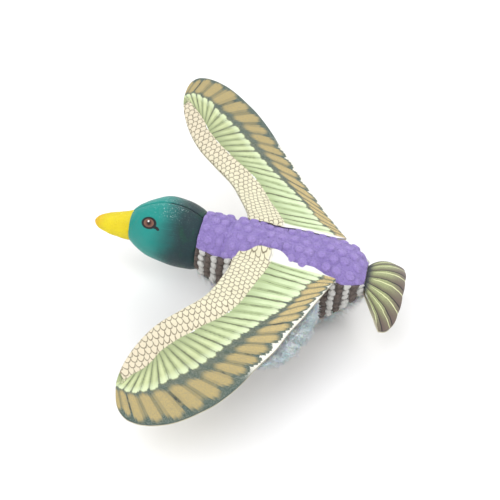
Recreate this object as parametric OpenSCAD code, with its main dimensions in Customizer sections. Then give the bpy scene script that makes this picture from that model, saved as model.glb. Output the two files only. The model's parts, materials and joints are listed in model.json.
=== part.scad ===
// Stuffed flapping mallard: a sewn bird whose wings are flapped by a motion unit in its belly.
// Frame: +X to the bill, +Y to the bird's left, +Z up. The origin is on the resting plane,
// below the middle of the bird's length and span. Millimetres.

/* [Body] */
// Height of the back above the resting plane
back_h = 90; // [84:1:108]
// Half width of the body at the wings
body_half_w = 37; // [35:0.5:44]
// X of the seam between neck and head
neck_x = 48; // [44:1:56]
// X of the seam between body and tail
rump_x = -126; // [-150:1:-120]
// Half width of the dotted back strip
strip_half_w = 31; // [27:0.5:33]
// Thickness of the sewn fabric
skin = 1.5; // [1.2:0.1:2]

/* [Head] */
// Height of the crown above the resting plane
crown_h = 106; // [100:1:126]
// Half width of the head
head_half_w = 34; // [30:1:40]
// X of the bill's tip
bill_tip_x = 168; // [156:1:195]
// Half width of the bill where it meets the head
bill_half_w = 16.5; // [12:0.5:19]

/* [Tail] */
// X of the tail's rear edge
tail_end_x = -168; // [-195:1:-160]
// Half width of the tail fan
tail_half_w = 52; // [40:1:62]
// How far the sides of the tail hang below its middle
tail_arch = 18; // [8:1:22]

/* [Wings] */
// Length of a wing from root to tip
wing_len = 216; // [176:1:260]
// Chord of a wing at its root
root_chord = 107; // [89:1:112]
// X of the front of the wing root
root_front_x = 8; // [4:1:12]
// Half thickness of a wing at its root
wing_half_t = 4.2; // [3.6:0.1:5]
// How far the wings droop at rest, in degrees
droop = 4.8; // [0:0.1:8]
// Lie of the left wing: x shift per unit of length, with the tips bent by hand
left_lie = -0.18; // [-0.25:0.01:0.25]
// Lie of the right wing
right_lie = 0.18; // [-0.25:0.01:0.25]
// Curl of the left wing: rise at 100 mm from the root
left_curl = -0.5; // [-3:0.1:12]
// Curl of the right wing
right_curl = 10.6; // [-3:0.1:12]
// Thickness of the printed wing fabric
wing_skin = 0.8; // [0.5:0.1:1]
// Diameter of the spring wire in a wing
wire_d = 2.4; // [1.6:0.1:2.6]

/* [Motion unit] */
// Length of the case
case_len = 60; // [60:1:66]
// Width of the case
case_w = 42; // [42:0.5:46]
// Height of the case's floor above the resting plane
case_floor_z = 8; // [7:0.5:8.5]
// Height of the case's roof above the resting plane
case_roof_z = 82.5; // [82:0.1:84]
// Wall of the case
wall = 1.6; // [1.2:0.1:2]
// Module of the spur gears
gear_m = 0.6; // [0.5:0.05:0.65]
// Teeth of the crank gear
crank_teeth = 40; // [32:1:42]
// Teeth of the idler's large gear
idler_teeth = 32; // [26:1:34]
// Teeth of the small gears
pinion_teeth = 12; // [12:1:14]
// Pitch radius of the lever sectors
sector_r = 9; // [8:1:9]
// How far a wing rises from rest, in degrees
flap_up = 30; // [20:1:32]
// How far a wing falls from rest, in degrees
flap_down = 15; // [8:1:18]
// Diameter of the motor
motor_d = 20; // [16:0.5:21]
// Travel of the power button
button_travel = 1.2; // [0.8:0.1:1.4]

/* [Fits] */
// Gap between sewn pieces that lie edge to edge
seam_gap = 0.05; // [0.02:0.01:0.1]
// Gap between pieces that move past each other
move_gap = 0.4; // [0.3:0.05:0.6]
// Running clearance of a shaft in its bore, on the radius
run_gap = 0.05; // [0.02:0.01:0.08]

/* [Hidden] */
$fn = 48;

// Smooth curve through the rows of a table, whose first column is the position.
function hermite(p0, p1, p2, p3, t) =
  let (s1 = (p2 - p0) / (p2[0] - p0[0]), s2 = (p3 - p1) / (p3[0] - p1[0]), w = p2[0] - p1[0])
  (2 * t * t * t - 3 * t * t + 1) * p1 + (t * t * t - 2 * t * t + t) * w * s1
  + (3 * t * t - 2 * t * t * t) * p2 + (t * t * t - t * t) * w * s2;
function segment(table, x, i = 0) =
  i >= len(table) - 2 || (table[1][0] > table[0][0] ? x <= table[i + 1][0] : x >= table[i + 1][0])
  ? i : segment(table, x, i + 1);
function smooth(table, x) =
  let (i = segment(table, x), n = len(table), a = table[i], b = table[i + 1],
       before = i > 0 ? table[i - 1] : 2 * a - b, after = i + 2 < n ? table[i + 2] : 2 * b - a)
  hermite(before, a, b, after, (x - a[0]) / (b[0] - a[0]));
function steps(a, b, n) = [for (i = [0 : n]) a + (b - a) * i / n];

// Sections: [x, top z, bottom z, half width, z of the widest place, fullness].
belly_z = -6;
body_mid_x = -45;
body_sections = [
  [neck_x, back_h + 4, 36, 29, 65, 2.1],
  [neck_x - 18, back_h + 3, 23, 32, 60, 2.2],
  [neck_x - 43, back_h + 1, 4, body_half_w - 1.5, 52, 2.5],
  [-20, back_h, belly_z + 2, body_half_w - 0.5, 48, 2.6],
  [body_mid_x, back_h, belly_z, body_half_w, 47, 2.6],
  [-70, back_h - 1, belly_z + 1, body_half_w - 0.5, 50, 2.6],
  [rump_x + 31, back_h - 3, 9, body_half_w - 2, 56, 2.5],
  [rump_x + 13, back_h - 8, 32, body_half_w - 7, 61, 2.3],
  [rump_x, back_h - 17, 48, 18, 61, 2.1]];
head_front_x = neck_x + 77;
head_sections = [
  [neck_x, back_h + 4, 36, 29, 65, 2],
  [neck_x + 7, crown_h - 7, 33, head_half_w - 2, 66, 2],
  [neck_x + 22, crown_h - 1, 33, head_half_w, 69, 2],
  [neck_x + 40, crown_h, 35, head_half_w, 72, 2],
  [neck_x + 57, crown_h - 6, 39, head_half_w - 5, 71, 2],
  [neck_x + 70, crown_h - 14, 45, head_half_w - 12, 69, 2],
  [head_front_x, 85, 50, bill_half_w, 68, 2]];
bill_len = bill_tip_x - head_front_x;
bill_sections = [
  [head_front_x, 84, 51, bill_half_w, 68, 2],
  [head_front_x + 0.3 * bill_len, 78, 51.5, bill_half_w - 1, 65, 2],
  [head_front_x + 0.6 * bill_len, 74, 54, bill_half_w - 3, 64, 2],
  [head_front_x + 0.83 * bill_len, 70, 57, bill_half_w - 6.5, 63.5, 2],
  [head_front_x + 0.95 * bill_len, 67, 60, bill_half_w - 10.5, 63.5, 2],
  [bill_tip_x, 64.5, 62.5, bill_half_w - 15, 63.5, 2]];

// Signed power, which rounds or squares an ellipse.
function spow(v, e) = (v < 0 ? -1 : 1) * pow(abs(v), e);
// Point of a section at an angle from the top, with the surface moved inward by t.
function section_point(s, angle, t) =
  let (e = 2 / s[5], rise = cos(angle) > 0 ? s[1] - t - s[4] : s[4] - s[2] - t)
  [s[0], (s[3] - t) * spow(sin(angle), e), max(s[4] + rise * spow(cos(angle), e), t)];
// Angle at which a section's half width reaches y.
function angle_at(s, y) = asin(min(1, pow(min(1, y / s[3]), s[5] / 2)));
function ring(s, n, t) = [for (i = [0 : n - 1]) section_point(s, 360 * i / n, t)];

// Solid between two grids of points, as a sewn panel is.
module slab(outer, inner, flip = false) {
  rows = len(outer);
  cols = len(outer[0]);
  n = rows * cols;
  pts = concat([for (r = outer) for (p = r) p], [for (r = inner) for (p = r) p]);
  at = function (i, j) i * cols + j;
  sheet = [for (i = [0 : rows - 2]) for (j = [0 : cols - 2])
    each [[at(i, j), at(i + 1, j), at(i + 1, j + 1)], [at(i, j), at(i + 1, j + 1), at(i, j + 1)]]];
  border = concat(
    [for (j = [0 : cols - 2]) [at(0, j), at(0, j + 1)]],
    [for (i = [0 : rows - 2]) [at(i, cols - 1), at(i + 1, cols - 1)]],
    [for (j = [cols - 2 : -1 : 0]) [at(rows - 1, j + 1), at(rows - 1, j)]],
    [for (i = [rows - 2 : -1 : 0]) [at(i + 1, 0), at(i, 0)]]);
  faces = concat(
    sheet,
    [for (f = sheet) [f[0] + n, f[2] + n, f[1] + n]],
    [for (e = border) each [[e[0], e[1], e[1] + n], [e[0], e[1] + n, e[0] + n]]]);
  polyhedron(pts, flip ? [for (f = faces) [f[0], f[2], f[1]]] : faces);
}
// Solid through a row of closed rings.
module loft(rings) {
  k = len(rings[0]);
  n = len(rings);
  side = [for (i = [0 : n - 2]) for (j = [0 : k - 1]) let (q = (j + 1) % k)
    each [[i * k + j, (i + 1) * k + j, (i + 1) * k + q], [i * k + j, (i + 1) * k + q, i * k + q]]];
  polyhedron([for (r = rings) for (p = r) p],
    concat(side, [[for (j = [0 : k - 1]) j], [for (j = [k - 1 : -1 : 0]) (n - 1) * k + j]]));
}
// Closed skin around a row of rings: open at the first ring, closed at the last.
module cup(outer, inner) {
  k = len(outer[0]);
  n = len(outer);
  m = n * k;
  side = [for (i = [0 : n - 2]) for (j = [0 : k - 1]) let (q = (j + 1) % k)
    each [[i * k + j, (i + 1) * k + j, (i + 1) * k + q], [i * k + j, (i + 1) * k + q, i * k + q]]];
  rim = [for (j = [0 : k - 1]) let (q = (j + 1) % k) each [[j, q, m + q], [j, m + q, m + j]]];
  cap = [for (j = [k - 1 : -1 : 0]) (n - 1) * k + j];
  polyhedron([for (r = concat(outer, inner)) for (p = r) p],
    concat(side, [for (f = side) [f[0] + m, f[2] + m, f[1] + m]], rim,
      [cap, [for (j = [k - 1 : -1 : 0]) cap[j] + m]]));
}

// Motion unit layout.
unit_x = -49;
case_x0 = unit_x - case_len / 2;
case_x1 = unit_x + case_len / 2;
half_in = case_w / 2 - wall;
lever_x = -28;
lever_t = 4;
pivot_y = 26;
pivot_z = 70;
pin_d = 2.4;
split_z = 46;
crank_z = 58;
flap_mid = (flap_up - flap_down) / 2;
mm_per_deg = sector_r * PI / 180;
crank_r = mm_per_deg * (flap_up + flap_down) / 2;
slot_z = crank_z + mm_per_deg * flap_mid;
crank_pin_d = 3;
axle_d = 3;
idler_z = crank_z - gear_m * (crank_teeth + pinion_teeth) / 2;
motor_z = idler_z - gear_m * (idler_teeth + pinion_teeth) / 2;
plate_x = lever_x - 14.6;
plate_t = 1.4;
yoke_t = 4;
crank_x0 = lever_x - yoke_t / 2 - move_gap - 3 - 3.6;
gear_t = 3.6;

// ---- Sewn body ----
body_xs = concat(steps(neck_x, -18, 7), [-20, -36, -38], steps(-45, rump_x, 9));
window_x = [-37, -19];
in_window = function (x) x > window_x[0] && x < window_x[1];
strip_angle = function (s) angle_at(s, min(strip_half_w, s[3] * 0.93));
belly_angle = 122;
window_low = 78;
window_high = 31;
module body_panel(from, to, n, flip = false) {
  grid = [for (x = body_xs) let (s = smooth(body_sections, x), a = from(x, s), b = to(x, s))
    [for (i = [0 : n]) section_point(s, a + (b - a) * i / n, 0)]];
  inner = [for (x = body_xs) let (s = smooth(body_sections, x), a = from(x, s), b = to(x, s))
    [for (i = [0 : n]) section_point(s, a + (b - a) * i / n, skin)]];
  slab(grid, inner, flip);
}
top_edge = function (x, s) in_window(x) ? window_high : strip_angle(s);
flank_edge = function (x, s) in_window(x) ? window_low : strip_angle(s) + 0.3;
module back_panel() {
  color("mediumpurple") body_panel(function (x, s) -top_edge(x, s), top_edge, 12);
}
module flank_panel(side) {
  color("dimgray") body_panel(
    function (x, s) side > 0 ? flank_edge(x, s) : -belly_angle + 0.2,
    function (x, s) side > 0 ? belly_angle - 0.2 : -flank_edge(x, s), 5);
}
module left_flank_panel() flank_panel(1);
module right_flank_panel() flank_panel(-1);
flap_x0 = -70;
flap_x1 = -24;
flap_half_w = 13;
module belly_panel() {
  color("whitesmoke") difference() {
    body_panel(function (x, s) belly_angle, function (x, s) 360 - belly_angle, 10);
    translate([flap_x0, -flap_half_w, -1]) cube([flap_x1 - flap_x0, 2 * flap_half_w, skin + 3]);
  }
}
function body_core(xs) = [for (x = xs) ring(smooth(body_sections, x), 20, skin + core_gap)];
core_gap = 0.9;
module front_stuffing() {
  color("white") loft(body_core(steps(neck_x - 0.5, case_x1 + 3, 5)));
}
module rear_stuffing() {
  color("white") loft(body_core(steps(case_x0 - 3, rump_x + 1, 4)));
}

// ---- Head and bill ----
module head_panel(side) {
  xs = steps(head_front_x, neck_x + seam_gap, 10);
  a = side > 0 ? 0.15 : -179.85;
  grid = function (t) [for (x = xs) let (s = smooth(head_sections, x))
    [for (i = [0 : 10]) section_point(s, a + 17.97 * i, t)]];
  color("teal") slab(grid(0), grid(skin));
}
module head_left_panel() head_panel(1);
module head_right_panel() head_panel(-1);
module head_stuffing() {
  color("white") loft([for (x = steps(head_front_x - 0.5, neck_x + 0.5, 8))
    ring(smooth(head_sections, x), 20, skin + core_gap)]);
}
bill_xs = concat(steps(head_front_x + seam_gap, bill_tip_x - 6, 6), [bill_tip_x - 2, bill_tip_x]);
function reversed(list) = [for (j = [len(list) - 1 : -1 : 0]) list[j]];
module bill_cover() {
  outer = [for (x = bill_xs) reversed(ring(smooth(bill_sections, x), 20, 0))];
  inner = [for (x = bill_xs) let (near = min(x, bill_tip_x - 2 * skin), s = smooth(bill_sections, near))
    [for (p = reversed(ring(s, 20, skin))) [min(x, bill_tip_x - skin) , p[1], p[2]]]];
  color("gold") cup(outer, inner);
}
module bill_stuffing() {
  color("white") loft([for (x = steps(bill_tip_x - 10, head_front_x + 0.5, 5))
    ring(smooth(bill_sections, x), 16, skin + core_gap)]);
}

// ---- Tail ----
// The fan is a polar grid about a point inside the rump, and its sides hang down.
tail_root_x = rump_x - 1;
tail_reach = tail_root_x - tail_end_x;
tail_spread = 66;
tail_root_half_w = 16;
tail_corner = 0.42;
function tail_point(r, a, off) =
  let (w = tail_root_half_w + (tail_half_w - tail_root_half_w) * pow(r, 0.8),
       y = w * sin(90 * a / tail_spread),
       x = tail_root_x - tail_reach * r * (1 - tail_corner * pow(abs(a) / tail_spread, 3)))
  [x, y, 61 - tail_arch * pow(y / tail_half_w, 2) * (0.4 + 0.6 * r) - 3 * r + off];
function tail_puff(r, a, t) =
  (t - 1) * sqrt(max(0, sin(180 * min(1, 0.15 + 0.85 * r)))) * sqrt(max(0, cos(80 * a / tail_spread))) + 1;
function tail_grid(t, sign, gap) = [for (r = steps(0, 1, 6)) [for (a = steps(-tail_spread, tail_spread, 14))
  tail_point(r, a, sign * (tail_puff(r, a, t) - gap))]];
tail_half_t = 7;
module tail_top_panel() {
  color("olive") slab(tail_grid(tail_half_t, 1, 0), tail_grid(tail_half_t, 1, 0.9), true);
}
module tail_bottom_panel() {
  color("beige") slab(tail_grid(tail_half_t, -1, 0), tail_grid(tail_half_t, -1, 0.9));
}
module tail_stuffing() {
  inset = function (sign) [for (r = steps(0.1, 0.88, 5)) [for (a = steps(-tail_spread * 0.85,
    tail_spread * 0.85, 10)) tail_point(r, a, sign * (tail_puff(r, a, tail_half_t) - 1.9))]];
  color("white") slab(inset(1), inset(-1), true);
}

// ---- Wings ----
root_z = 79;
// The wing starts just outside the flank at the height of its lining, whatever the back's height.
wing_seam_gap = 1.6;
wing_lining_z = root_z - 4.3;
flank_section = smooth(body_sections, body_mid_x);
flank_share = pow((wing_lining_z - flank_section[4]) / (flank_section[1] - flank_section[4]), flank_section[5]);
root_y = flank_section[3] * pow(1 - flank_share, 1 / flank_section[5]) + wing_seam_gap;
// Outline: [share of wing length, front x, rear x], both from the front of the root.
wing_outline = [
  [0, 0, -root_chord], [0.055, 2, 7 - root_chord], [0.14, 9, 17 - root_chord],
  [0.27, 23, 32 - root_chord], [0.38, 44, 46 - root_chord], [0.49, 65, 58 - root_chord],
  [0.6, 79, 74 - root_chord], [0.72, 89, 90 - root_chord], [0.82, 93, 107 - root_chord],
  [0.88, 92, 121 - root_chord], [0.935, 89, 136 - root_chord], [0.97, 84, 149 - root_chord],
  [0.993, 77, 163 - root_chord], [1, 69, 172 - root_chord]];
span_steps = [0, 0.04, 0.1, 0.18, 0.27, 0.38, 0.49, 0.6, 0.72, 0.82, 0.88, 0.935, 0.97, 0.993, 1];
chord_steps = [0, 0.04, 0.14, 0.29, 0.45, 0.62, 0.8, 0.94, 1];
function lie_of(side) = side > 0 ? left_lie : right_lie;
function curl_of(side) = (side > 0 ? left_curl : right_curl) / 1e4;
// Point of a wing at share v of its length and share u of its chord, off above its middle.
function wing_point(side, v, u, off) =
  let (b = v * wing_len, o = smooth(wing_outline, v))
  [root_front_x + o[1] + u * (o[2] - o[1]) + lie_of(side) * b,
   side * (root_y + b * cos(droop)),
   root_z - b * sin(droop) + curl_of(side) * b * b + off];
// Half thickness of a wing: fullest a little ahead of its middle, thinner towards the tip.
function wing_puff(v, u) =
  let (q = pow(u, 0.75))
  1 + (wing_half_t - 1) * (1 - 0.25 * v) * sqrt(max(0, 1 - pow(v, 8))) * sqrt(max(0, 4 * q * (1 - q)));
function wing_grid(side, sign, gap) =
  [for (v = span_steps) [for (u = chord_steps) wing_point(side, v, u, sign * (wing_puff(v, u) - gap))]];
module wing_top(side) {
  color("palegoldenrod")
    slab(wing_grid(side, 1, 0), wing_grid(side, 1, wing_skin), side < 0);
}
module wing_bottom(side) {
  color("ivory") slab(wing_grid(side, -1, 0), wing_grid(side, -1, wing_skin), side > 0);
}
module wadding_strip(side, from, to) {
  gap = wing_skin + seam_gap;
  sheet = function (sign) [for (v = [0.05, 0.1, 0.18, 0.27, 0.38, 0.49, 0.6, 0.72, 0.82, 0.9])
    [for (t = [0, 0.25, 0.5, 0.75, 1]) let (u = from(v) + (to(v) - from(v)) * t)
    wing_point(side, v, u, sign * (wing_puff(v, u) - gap - 0.15))]];
  slab(sheet(1), sheet(-1), side < 0);
}
wire_u = (root_front_x - lever_x) / root_chord;
function chord_at(v) = let (o = smooth(wing_outline, v)) o[1] - o[2];
module wing_wadding(side) {
  half = wire_d / 2 + 1;
  color("white") {
    wadding_strip(side, function (v) 0.06, function (v) wire_u - half / chord_at(v));
    wadding_strip(side, function (v) wire_u + half / chord_at(v), function (v) 0.93);
  }
}
// Tube of k sides along a path that runs outward from the lever.
module tube(path, r, k) {
  n = len(path);
  rings = [for (i = [0 : n - 1])
    let (d = path[min(i + 1, n - 1)] - path[max(i - 1, 0)], f = d / norm(d),
         s = cross(f, [0, 0, 1]) / norm(cross(f, [0, 0, 1])), u = cross(s, f))
    [for (j = [0 : k - 1]) path[i] + r * (s * cos(360 * j / k) + u * sin(360 * j / k))]];
  loft(rings);
}
wire_end_v = 0.8;
boss_len = 7.5;
module wing_wire(side) {
  start = wing_point(side, 0, wire_u, 0);
  out = [0, side * cos(droop), -sin(droop)];
  path = concat([start - 2 * out, start + (boss_len - 3) * out],
    [for (v = steps(0.05, wire_end_v, 14)) wing_point(side, v, wire_u, 0)]);
  color("silver") tube(path, wire_d / 2, 10);
}
module wire_cap(side) {
  cap_r = 1.7;
  p = wing_point(side, wire_end_v + (cap_r + 0.1) / wing_len, wire_u, 0);
  color("black") translate(p) sphere(r = cap_r, $fn = 24);
}
plush_out = 17;
plush_drop = 7;
module underwing_plush(side) {
  vs = steps(0.13, 0.57, 8);
  us = [0, 0.12, 0.3, 0.5, 0.7, 0.88, 1];
  sheet = function (low) [for (v = vs) let (c = chord_at(v), round = sqrt(sin(180 * (v - 0.1) / 0.5)))
    [for (t = us)
      let (u = 0.42 + t * (0.54 + plush_out * round / c), w = min(u, 1),
           p = wing_point(side, v, u, -wing_puff(v, w) - core_gap),
           edge = sin(180 * (v - vs[0]) / (vs[8] - vs[0])) * sin(180 * t))
      p - [0, 0, low ? 2.5 + plush_drop * sqrt(max(0, edge)) : 0]]];
  color("whitesmoke") slab(sheet(false), sheet(true), side < 0);
}

// ---- Levers that carry the wings ----
// Involute gear outline with a stub addendum.
function inv(a) = tan(a) * 180 / PI - a;
function flank_angle(n, m, r) =
  let (rb = n * m / 2 * cos(20), a = acos(min(1, rb / r)))
  90 / n - 0.07 * 180 / (PI * n * m / 2) + inv(20) - inv(a);
function tooth(n, m) =
  let (rp = n * m / 2, rb = rp * cos(20), ra = rp + 0.75 * m, rf = rp - 1.1 * m, r0 = max(rb, rf),
       rs = steps(r0, ra, 4))
  concat([[rf, -flank_angle(n, m, r0)]], [for (r = rs) [r, -flank_angle(n, m, r)]],
    [for (i = [4 : -1 : 0]) [rs[i], flank_angle(n, m, rs[i])]], [[rf, flank_angle(n, m, r0)]]);
module gear_outline(n, m, turn = 0) {
  polygon([for (i = [0 : n - 1]) for (p = tooth(n, m))
    let (a = p[1] + 360 * i / n + turn) [p[0] * cos(a), p[0] * sin(a)]]);
}
// Flat shapes drawn in y (first) and z (second) are stood up along x.
module along_x(x, t) {
  translate([x, 0, 0]) rotate([90, 0, 90]) linear_extrude(t) children();
}
sector_m = 1;
sector_teeth = 2 * sector_r / sector_m;
module lever_outline() {
  root = wing_point(1, 0, wire_u, 0);
  difference() {
    union() {
      translate([pivot_y, pivot_z]) {
        intersection() {
          gear_outline(sector_teeth, sector_m, 180 + (sector_teeth % 2 == 0 ? 0 : 180 / sector_teeth));
          polygon([[0, 0], [-20, -20 * tan(50)], [-20, 20 * tan(50)]]);
        }
        circle(r = 3.8);
      }
      hull() {
        translate([pivot_y, pivot_z]) circle(r = 3);
        translate([root[1] - 3.5, root[2]]) circle(r = 2.7);
      }
    }
    translate([pivot_y, pivot_z]) circle(d = pin_d + 2 * run_gap);
  }
}
module wing_lever(side) {
  root = wing_point(side, 0, wire_u, 0);
  out = [0, side * cos(droop), -sin(droop)];
  color("orange") difference() {
    union() {
      along_x(lever_x - lever_t / 2, lever_t) mirror([side < 0 ? 1 : 0, 0]) lever_outline();
      translate(root - 3.5 * out) rotate([-side * (90 + droop), 0, 0]) cylinder(r = 2.8, h = boss_len);
    }
    translate(root - 2 * out) rotate([-side * (90 + droop), 0, 0])
      cylinder(d = wire_d + 0.02, h = boss_len);
  }
}
module lever_pins() {
  color("silver") for (side = [-1, 1])
    translate([lever_x - 6.5, side * pivot_y, pivot_z]) rotate([0, 90, 0]) cylinder(d = pin_d, h = 13);
}

// ---- Gear train ----
yoke_top = pivot_z + 7.5;
yoke_low = slot_z - 6.5;
yoke_root_y = pivot_y - sector_r - 1.15;
module yoke_outline() {
  difference() {
    union() {
      translate([-yoke_root_y, yoke_low]) square([2 * yoke_root_y, yoke_top - yoke_low]);
      for (side = [0, 1]) mirror([side, 0]) for (k = [-3 : 1])
        translate([pivot_y - sector_r, pivot_z + sector_m * PI * (k + 0.5)])
          polygon([[-1.4, -1.15], [0, -0.72], [0.8, -0.43], [0.8, 0.43], [0, 0.72], [-1.4, 1.15]]);
    }
    translate([-crank_r - 2.2, slot_z - crank_pin_d / 2 - 0.1])
      square([2 * crank_r + 4.4, crank_pin_d + 0.2]);
    translate([-6.5, slot_z + 4.5]) square([13, yoke_top - slot_z - 7.5]);
  }
}
rod_y = 10.5;
rod_d = 2.4;
beam_z = split_z;
module yoke_rack() {
  color("orange") difference() {
    along_x(lever_x - yoke_t / 2, yoke_t) yoke_outline();
    for (side = [-1, 1]) translate([lever_x, side * rod_y, yoke_low - 1])
      cylinder(d = rod_d + 2 * run_gap, h = yoke_top - yoke_low + 2);
  }
}
module guide_rods() {
  color("silver") for (side = [-1, 1]) translate([lever_x, side * rod_y, beam_z])
    cylinder(d = rod_d, h = case_roof_z - wall - beam_z);
}
crank_angle = asin((slot_z - crank_z) / crank_r);
module crank_gear() {
  color("white") difference() {
    union() {
      translate([0, 0, crank_z]) along_x(crank_x0, gear_t) gear_outline(crank_teeth, gear_m, 90);
      translate([plate_x + plate_t + 0.2, 0, crank_z]) rotate([0, 90, 0])
        cylinder(r = 3, h = crank_x0 - plate_x - plate_t);
      translate([crank_x0, crank_r * cos(crank_angle), slot_z]) rotate([0, 90, 0])
        cylinder(d = crank_pin_d, h = gear_t + 3);
    }
    translate([plate_x, 0, crank_z]) rotate([0, 90, 0]) cylinder(d = axle_d + 2 * run_gap, h = 30);
  }
}
module crank_axle() {
  color("silver") translate([plate_x - 1, 0, crank_z]) rotate([0, 90, 0])
    cylinder(d = axle_d, h = crank_x0 + gear_t - plate_x + 0.8);
}
idler_x0 = plate_x + plate_t + 0.4;
half_tooth = function (n) 180 / n;
module idler_gear() {
  color("white") translate([0, 0, idler_z]) difference() {
    union() {
      along_x(idler_x0, gear_t) gear_outline(idler_teeth, gear_m, 90);
      translate([idler_x0, 0, 0]) rotate([0, 90, 0]) cylinder(r = 2.9, h = crank_x0 - idler_x0 + 0.5);
      along_x(crank_x0, gear_t) gear_outline(pinion_teeth, gear_m,
        90 + (crank_teeth % 2 == 0 ? half_tooth(pinion_teeth) : 0));
    }
    translate([plate_x, 0, 0]) rotate([0, 90, 0]) cylinder(d = 2 + 2 * run_gap, h = 30);
  }
}
module idler_pin() {
  color("silver") translate([plate_x - 1, 0, idler_z]) rotate([0, 90, 0])
    cylinder(d = 2, h = crank_x0 + gear_t - plate_x + 1.5);
}
motor_len = 25;
motor_x0 = plate_x - motor_len - 0.05;
shaft_d = 2;
module motor() {
  color("silver") difference() {
    translate([motor_x0, 0, motor_z]) rotate([0, 90, 0]) union() {
      cylinder(d = motor_d, h = motor_len);
      translate([0, 0, -1.5]) cylinder(r = 4, h = 2);
    }
    translate([motor_x0 + 3, 0, motor_z]) rotate([0, 90, 0])
      cylinder(d = shaft_d + 2 * run_gap, h = motor_len);
  }
}
module motor_shaft() {
  color("gray") translate([motor_x0 + 4, 0, motor_z]) rotate([0, 90, 0])
    cylinder(d = shaft_d, h = idler_x0 + gear_t - motor_x0 - 3.6);
}
module motor_pinion() {
  color("gold") translate([0, 0, motor_z]) along_x(idler_x0, gear_t) difference() {
    gear_outline(pinion_teeth, gear_m, 90 + (idler_teeth % 2 == 0 ? half_tooth(pinion_teeth) : 0));
    circle(d = shaft_d);
  }
}
module gearbox_plate() {
  color("lightgray") along_x(plate_x, plate_t) difference() {
    translate([-half_in + 0.05, 18]) square([2 * half_in - 0.1, 58]);
    translate([0, crank_z]) circle(d = axle_d);
    translate([0, idler_z]) circle(d = 2);
    translate([0, motor_z]) circle(d = shaft_d + 1);
  }
}

// ---- Case ----
post_r = 2.8;
post_y = half_in - post_r + 0.4;
post_xs = [case_x0 + wall + 2.4, case_x1 - wall - 1.6];
screw_d = 2;
button_x = -40;
led_x = -31;
socket_x = -54;
speaker_x = -60;
speaker_z = 50;
module case_shell(z0, z1) {
  translate([case_x0, -case_w / 2, z0]) cube([case_len, case_w, z1 - z0]);
}
module case_posts(z0, z1) {
  for (x = post_xs) for (y = [-post_y, post_y]) translate([x, y, z0]) cylinder(r = post_r, h = z1 - z0);
}
module case_top() {
  color("dimgray") difference() {
    union() {
      difference() {
        case_shell(split_z, case_roof_z);
        translate([case_x0 + wall, -half_in, split_z - 1])
          cube([case_len - 2 * wall, 2 * half_in, case_roof_z - wall - split_z + 1]);
      }
      case_posts(split_z, split_z + 8);
      for (side = [-1, 1]) for (dx = [-1, 1])
        translate([lever_x + dx * 4.5 - 1, side > 0 ? case_w / 2 - 0.5 : -pivot_y - 3.4, pivot_z - 4])
          cube([2, pivot_y + 3.9 - case_w / 2, 8]);
    }
    for (side = [-1, 1]) {
      translate([lever_x - 2.6, side > 0 ? half_in - 1 : -case_w / 2 - 1, pivot_z - 13])
        cube([5.2, wall + 2, case_roof_z - wall - pivot_z + 13 - 0.5]);
      translate([lever_x - 6, side * pivot_y, pivot_z]) rotate([0, 90, 0]) cylinder(d = pin_d, h = 12);
    }
    for (x = post_xs) for (y = [-post_y, post_y]) translate([x, y, split_z - 1])
      cylinder(d = screw_d, h = 7.2);
    for (dx = [-3.5, 0, 3.5]) for (dz = [-3.5, 0, 3.5])
      translate([speaker_x + dx, -half_in + 1, speaker_z + 4 + dz]) rotate([90, 0, 0])
        cylinder(d = 1.6, h = wall + 2);
  }
}
button_d = 8;
socket_w = 9.2;
socket_d = 3.4;
led_d = 3;
module case_bottom() {
  color("dimgray") difference() {
    union() {
      difference() {
        case_shell(case_floor_z, split_z);
        translate([case_x0 + wall, -half_in, case_floor_z + wall])
          cube([case_len - 2 * wall, 2 * half_in, split_z]);
      }
      case_posts(case_floor_z, split_z);
      translate([lever_x - 2.5, -half_in - 0.5, beam_z - 3]) cube([5, 2 * half_in + 1, 3]);
      for (x = [board_x0 + 3.5, board_x1 - 3]) for (y = [-8, 8])
        translate([x, y, case_floor_z]) cylinder(r = 2, h = board_z - case_floor_z);
    }
    for (x = post_xs) for (y = [-post_y, post_y]) translate([x, y, case_floor_z - 1]) {
      cylinder(r = 2, h = split_z - 5 - case_floor_z);
      cylinder(r = 1.05, h = split_z);
    }
    translate([button_x, 0, case_floor_z - 1]) cylinder(d = button_d + 0.1, h = wall + 2);
    translate([led_x, 0, case_floor_z - 1]) cylinder(d = led_d + 0.1, h = wall + 2);
    translate([socket_x - socket_d / 2 - 0.1, -socket_w / 2 - 0.1, case_floor_z - 1])
      cube([socket_d + 0.2, socket_w + 0.2, wall + 2]);
  }
}
module case_screws() {
  color("silver") for (x = post_xs) for (y = [-post_y, post_y]) translate([x, y, split_z - 6]) {
    translate([0, 0, -1.6]) cylinder(r = 1.9, h = 1.6);
    cylinder(d = screw_d, h = 12);
  }
}

// ---- Electrics ----
board_x0 = -74;
board_x1 = -24;
board_z = 12.6;
board_t = 1.4;
module circuit_board() {
  color("green") translate([board_x0, -12.5, board_z]) cube([board_x1 - board_x0, 25, board_t]);
}
module charging_socket() {
  color("silver") translate([socket_x - socket_d / 2, -socket_w / 2, case_floor_z]) difference() {
    cube([socket_d, socket_w, board_z - case_floor_z]);
    translate([0.5, 0.5, -1]) cube([socket_d - 1, socket_w - 1, 4.4]);
  }
}
button_low = case_floor_z - 1.3;
button_flange_z = case_floor_z + wall;
button_top = button_flange_z + 0.8;
module power_button() {
  color("black") translate([button_x, 0, 0]) {
    translate([0, 0, button_low]) cylinder(d = button_d, h = button_top - button_low);
    translate([0, 0, button_flange_z]) cylinder(d = button_d + 2, h = 0.8);
  }
}
module button_spring() {
  turns = 2;
  r = 2;
  wire = 0.2;
  h = board_z - button_top - 2 * wire;
  path = [for (i = [0 : 10 * turns]) [button_x + r * cos(36 * i), r * sin(36 * i),
    button_top + wire + h * i / (10 * turns)]];
  color("silver") tube(path, wire, 6);
}
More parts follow.
